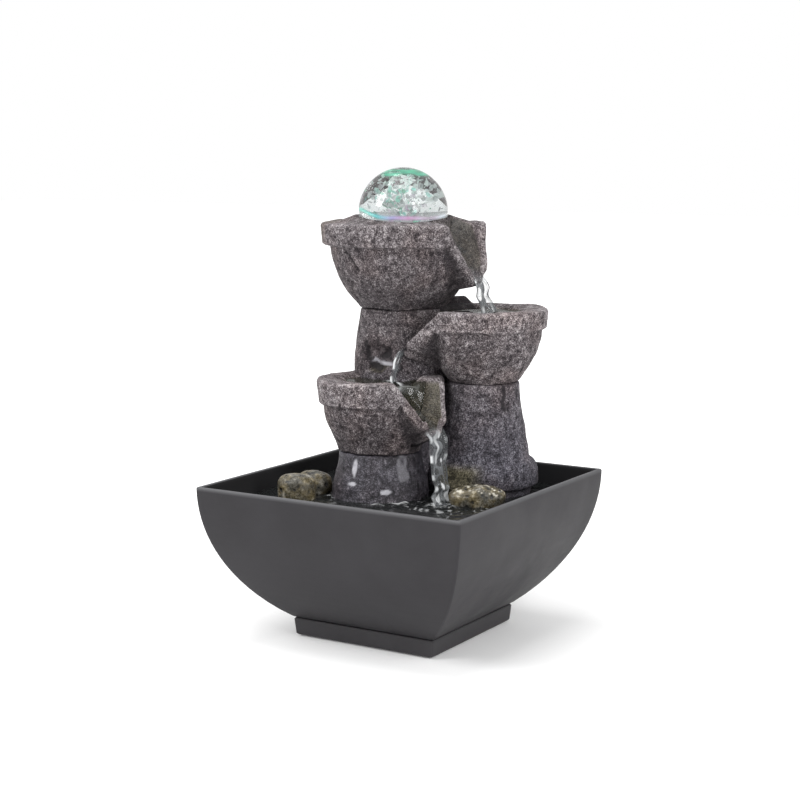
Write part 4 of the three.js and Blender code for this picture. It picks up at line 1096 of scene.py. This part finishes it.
def flakes():
    """The crackle: small flat flakes, each a six-sided double cone, scattered in a cloud
    about the ball's middle and tilted at random."""
    random = np.random.default_rng(58)
    count = 460
    spot = random.normal(size=(count, 3)) * [0.30, 0.30, 0.26] + [0, 0, 0.28]
    spot = spot[np.linalg.norm(spot, axis=1) < 0.80]
    count = len(spot)
    size = random.uniform(0.6, 2.3, (count, 1, 1))
    axes, _ = np.linalg.qr(random.normal(size=(count, 3, 3)))
    ring = np.arange(6)
    after = (ring + 1) % 6
    corner = turns(6)
    shape = np.concatenate([np.stack([np.cos(corner), np.sin(corner) * 0.7, 0 * corner], -1),
                            [[0, 0, 0.16], [0, 0, -0.16]]])
    vertices = BALL + spot[:, None] * BALL_RADIUS + size * (shape @ axes)
    cone = np.concatenate([np.stack([ring, after, np.full(6, 6)], -1),
                           np.stack([after, ring, np.full(6, 7)], -1)])
    faces = cone + 8 * np.arange(count)[:, None, None]
    turned_in = np.linalg.det(axes) < 0
    faces[turned_in] = faces[turned_in][:, :, ::-1]
    mesh = bpy.data.meshes.new("ball_crackle")
    mesh.from_pydata((vertices.reshape(-1, 3) * MM).tolist(), [], faces.reshape(-1, 3).tolist())
    tone = np.repeat(random.uniform(0, 1, count), 8)
    mesh.attributes.new("tone", "FLOAT", "POINT").data.foreach_set("value", tone.astype(np.float32))
    f = Finish("ball_crackle", roughness=0.25)
    colour = f.ramp(f.attribute("tone"), (0.0, (0.42, 0.44, 0.44)), (0.35, (0.80, 0.82, 0.82)),
                    (0.72, (0.95, 0.96, 0.96)), (0.86, (0.50, 0.85, 0.78)),
                    (0.93, (0.32, 0.68, 0.48)), (0.99, (0.88, 0.70, 0.85)))
    f.set("Base Color", colour)
    # painted glow: the flakes glow faintly, standing in for the lamp beneath lighting the crackle
    f.set("Emission Color", colour)
    f.set("Emission Strength", 0.20)
    f.set("Alpha", f.spread(f.noise(3), 0.3, 0.6, 0.3, 0.75))
    f.material.surface_render_method = "BLENDED"
    mesh.materials.append(f.material)
    obj = placed("ball_crackle", mesh)
    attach(obj, "ball")


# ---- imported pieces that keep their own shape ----

def finish_nodes():
    clear = plain("clear_plastic", (0.68, 0.72, 0.73), (0.74, 0.78, 0.79), 0.12, size=5, depth=0.01,
                  Transmission_Weight=0.85)
    finishes = {
        "cord_grommet pump_cord_gland lamp_seal_ring rotor_front_bush rotor_rear_bush lamp_lead "
        "lamp_lead_plug foot_front_right foot_front_left foot_rear_right foot_rear_left "
        "suction_cup_a suction_cup_b suction_cup_c suction_cup_d":
            plain("moulded_rubber", (0.012, 0.012, 0.012), (0.020, 0.020, 0.021), 0.7),
        "pump_body volute_cover strainer_cover":
            plain("pump_plastic", (0.018, 0.019, 0.021), (0.030, 0.031, 0.034), 0.42, size=6),
        "impeller flow_dial":
            plain("white_plastic", (0.68, 0.68, 0.65), (0.76, 0.76, 0.73), 0.35, size=5),
        "ball_seat lamp_lens": clear,
        "sculpture_base": plain("wet_insert_stone", (0.012, 0.010, 0.011), (0.120, 0.108, 0.113),
                                0.6, size=3.2, grain=0.9, depth=0.6),
        "lamp_housing": plain("lamp_plastic", (0.024, 0.024, 0.027), (0.034, 0.034, 0.038), 0.25),
        "lamp_board": plain("lamp_board", (0.74, 0.74, 0.70), (0.82, 0.82, 0.78), 0.5, size=2),
        "lamp_emitter": plain("lamp_phosphor", (0.88, 0.80, 0.42), (0.92, 0.86, 0.55), 0.3,
                              size=0.8),
        "riser_tube": plain("tube_vinyl", (0.48, 0.53, 0.55), (0.58, 0.63, 0.65), 0.3, size=8),
        "pump_potting": plain("potting_resin", (0.010, 0.010, 0.010), (0.018, 0.018, 0.018), 0.3,
                              size=7),
        "stator_core": striped("steel_laminations", 0.85, "X", 0.7, 0.0,
                               ((0.1, (0.05, 0.045, 0.04)), (0.5, (0.34, 0.34, 0.35))),
                               1.2, (0.35, 0.55), 0.1, 0.7),
        "stator_coil": striped("copper_windings", 0.7, "Y", 0.5, 0.6,
                               ((0.05, (0.10, 0.03, 0.012)), (0.6, (0.62, 0.25, 0.10))),
                               1.0, (0.25, 0.4), 0.15, 0.8),
        "rotor_shaft": plain("shaft_ceramic", (0.80, 0.78, 0.73), (0.86, 0.84, 0.80), 0.15, size=4),
        "rotor_magnet": plain("magnet_ferrite", (0.035, 0.035, 0.039), (0.055, 0.055, 0.060), 0.45,
                              size=1.5, grain=0.3, depth=0.05),
    }
    for names, material in finishes.items():
        for name in names.split():
            mesh = frame["nodes"][name].data
            mesh.materials.clear()
            mesh.materials.append(material)


# ---- floor ----

def floor():
    """A white floor, lit from below ever more with distance so that it meets the backdrop."""
    mesh = bpy.data.meshes.new("floor")
    s = 6.0
    mesh.from_pydata([(-s, -s, 0), (s, -s, 0), (s, s, 0), (-s, s, 0)], [], [(0, 1, 2, 3)])
    f = Finish("floor_paint", roughness=0.8)
    cloud = f.spread(f.noise(400), 0.3, 0.7)
    f.set("Base Color", f.mix(cloud, (0.93, 0.93, 0.93), (0.95, 0.95, 0.95)))
    distance = f.node("VectorMath", Vector=f.place)
    distance.operation = "LENGTH"
    f.set("Emission Color", (1.0, 1.0, 1.0))
    f.set("Emission Strength", f.spread(distance.outputs["Value"], 0.14, 1.0, 0.08, 0.6))
    mesh.materials.append(f.material)
    placed("floor", mesh)


# ---- build ----

camera()
studio()
STONE = cast_stone()
ROCK = wet_rock()

basin()
plinth()
top_bowl()
open_bowl("middle_bowl", MIDDLE, MIDDLE_SPOUT, 30, 21, 340,
          raised=(math.degrees(AZIMUTH) + 132, 36, 4.8))
open_bowl("low_bowl", LOW, LOW_SPOUT, 29, 61, 320)
tall_pillar()
middle_pillar()
low_pillar()
for rock in (("left_rock", 71, 3.2, 25, 22, 30, 0.15), ("rear_rock", 72, 3.0, 24, 20, -20, 0.1),
             ("front_rock", 73, 2.2, 37, 18, 32, 0.8), ("small_rock", 74, 2.4, 13, 11, 10, 0.2)):
    lump_rock(*rock)

pooled = water("pool_water", (0.030, 0.030, 0.020), 0.35)
falling = water("falling_water", (0.20, 0.21, 0.22), 0.16)
basin_water(water("still_water", (0.020, 0.022, 0.022), 0.45))
pool_water("middle_pool_water", MIDDLE, MIDDLE_SPOUT, 31.5, MIDDLE_LANDING, pooled)
pool_water("low_pool_water", LOW, LOW_SPOUT, 30.5, LOW_LANDING, pooled)

top_across, middle_across, low_across = (
    np.array([-math.sin(h), math.cos(h)])
    for h in (math.radians(bowl.heading) for bowl in (TALL, MIDDLE, LOW)))
towards_right = np.array([math.cos(AZIMUTH), math.sin(AZIMUTH)])
middle_level, low_level = pool_level(MIDDLE), pool_level(LOW)
stream("top_stream",
       spill_path(TALL, TALL_SPOUT, TALL.rim_z - 6, (*MIDDLE_LANDING, middle_level), 0),
       top_across, [14, 13, 13, 15, 15, 16], [1.0, 1.0, 2.2, 3.6, 4.2, 4.6], 401, falling, 0.5)
stream("middle_stream",
       spill_path(MIDDLE, MIDDLE_SPOUT, middle_level, (*LOW_LANDING, low_level), 4),
       middle_across - 0.7 * towards_right, [13, 12, 11, 11, 11, 11],
       [1.0, 1.0, 1.6, 2.0, 2.2, 2.6], 402, falling, 1.1)
low_stream = stream("low_stream",
                    spill_path(LOW, LOW_SPOUT, low_level, (*LOW_FOOT, WATER_Z), 4),
                    low_across, [14, 12, 12, 17, 17, 15, 14, 15],
                    [1.0, 1.0, 1.8, 3.0, 4.0, 4.0, 4.5, 5.5], 403, falling, 0.8, body=None)
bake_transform(low_stream)
glass_ball()
finish_nodes()
floor()
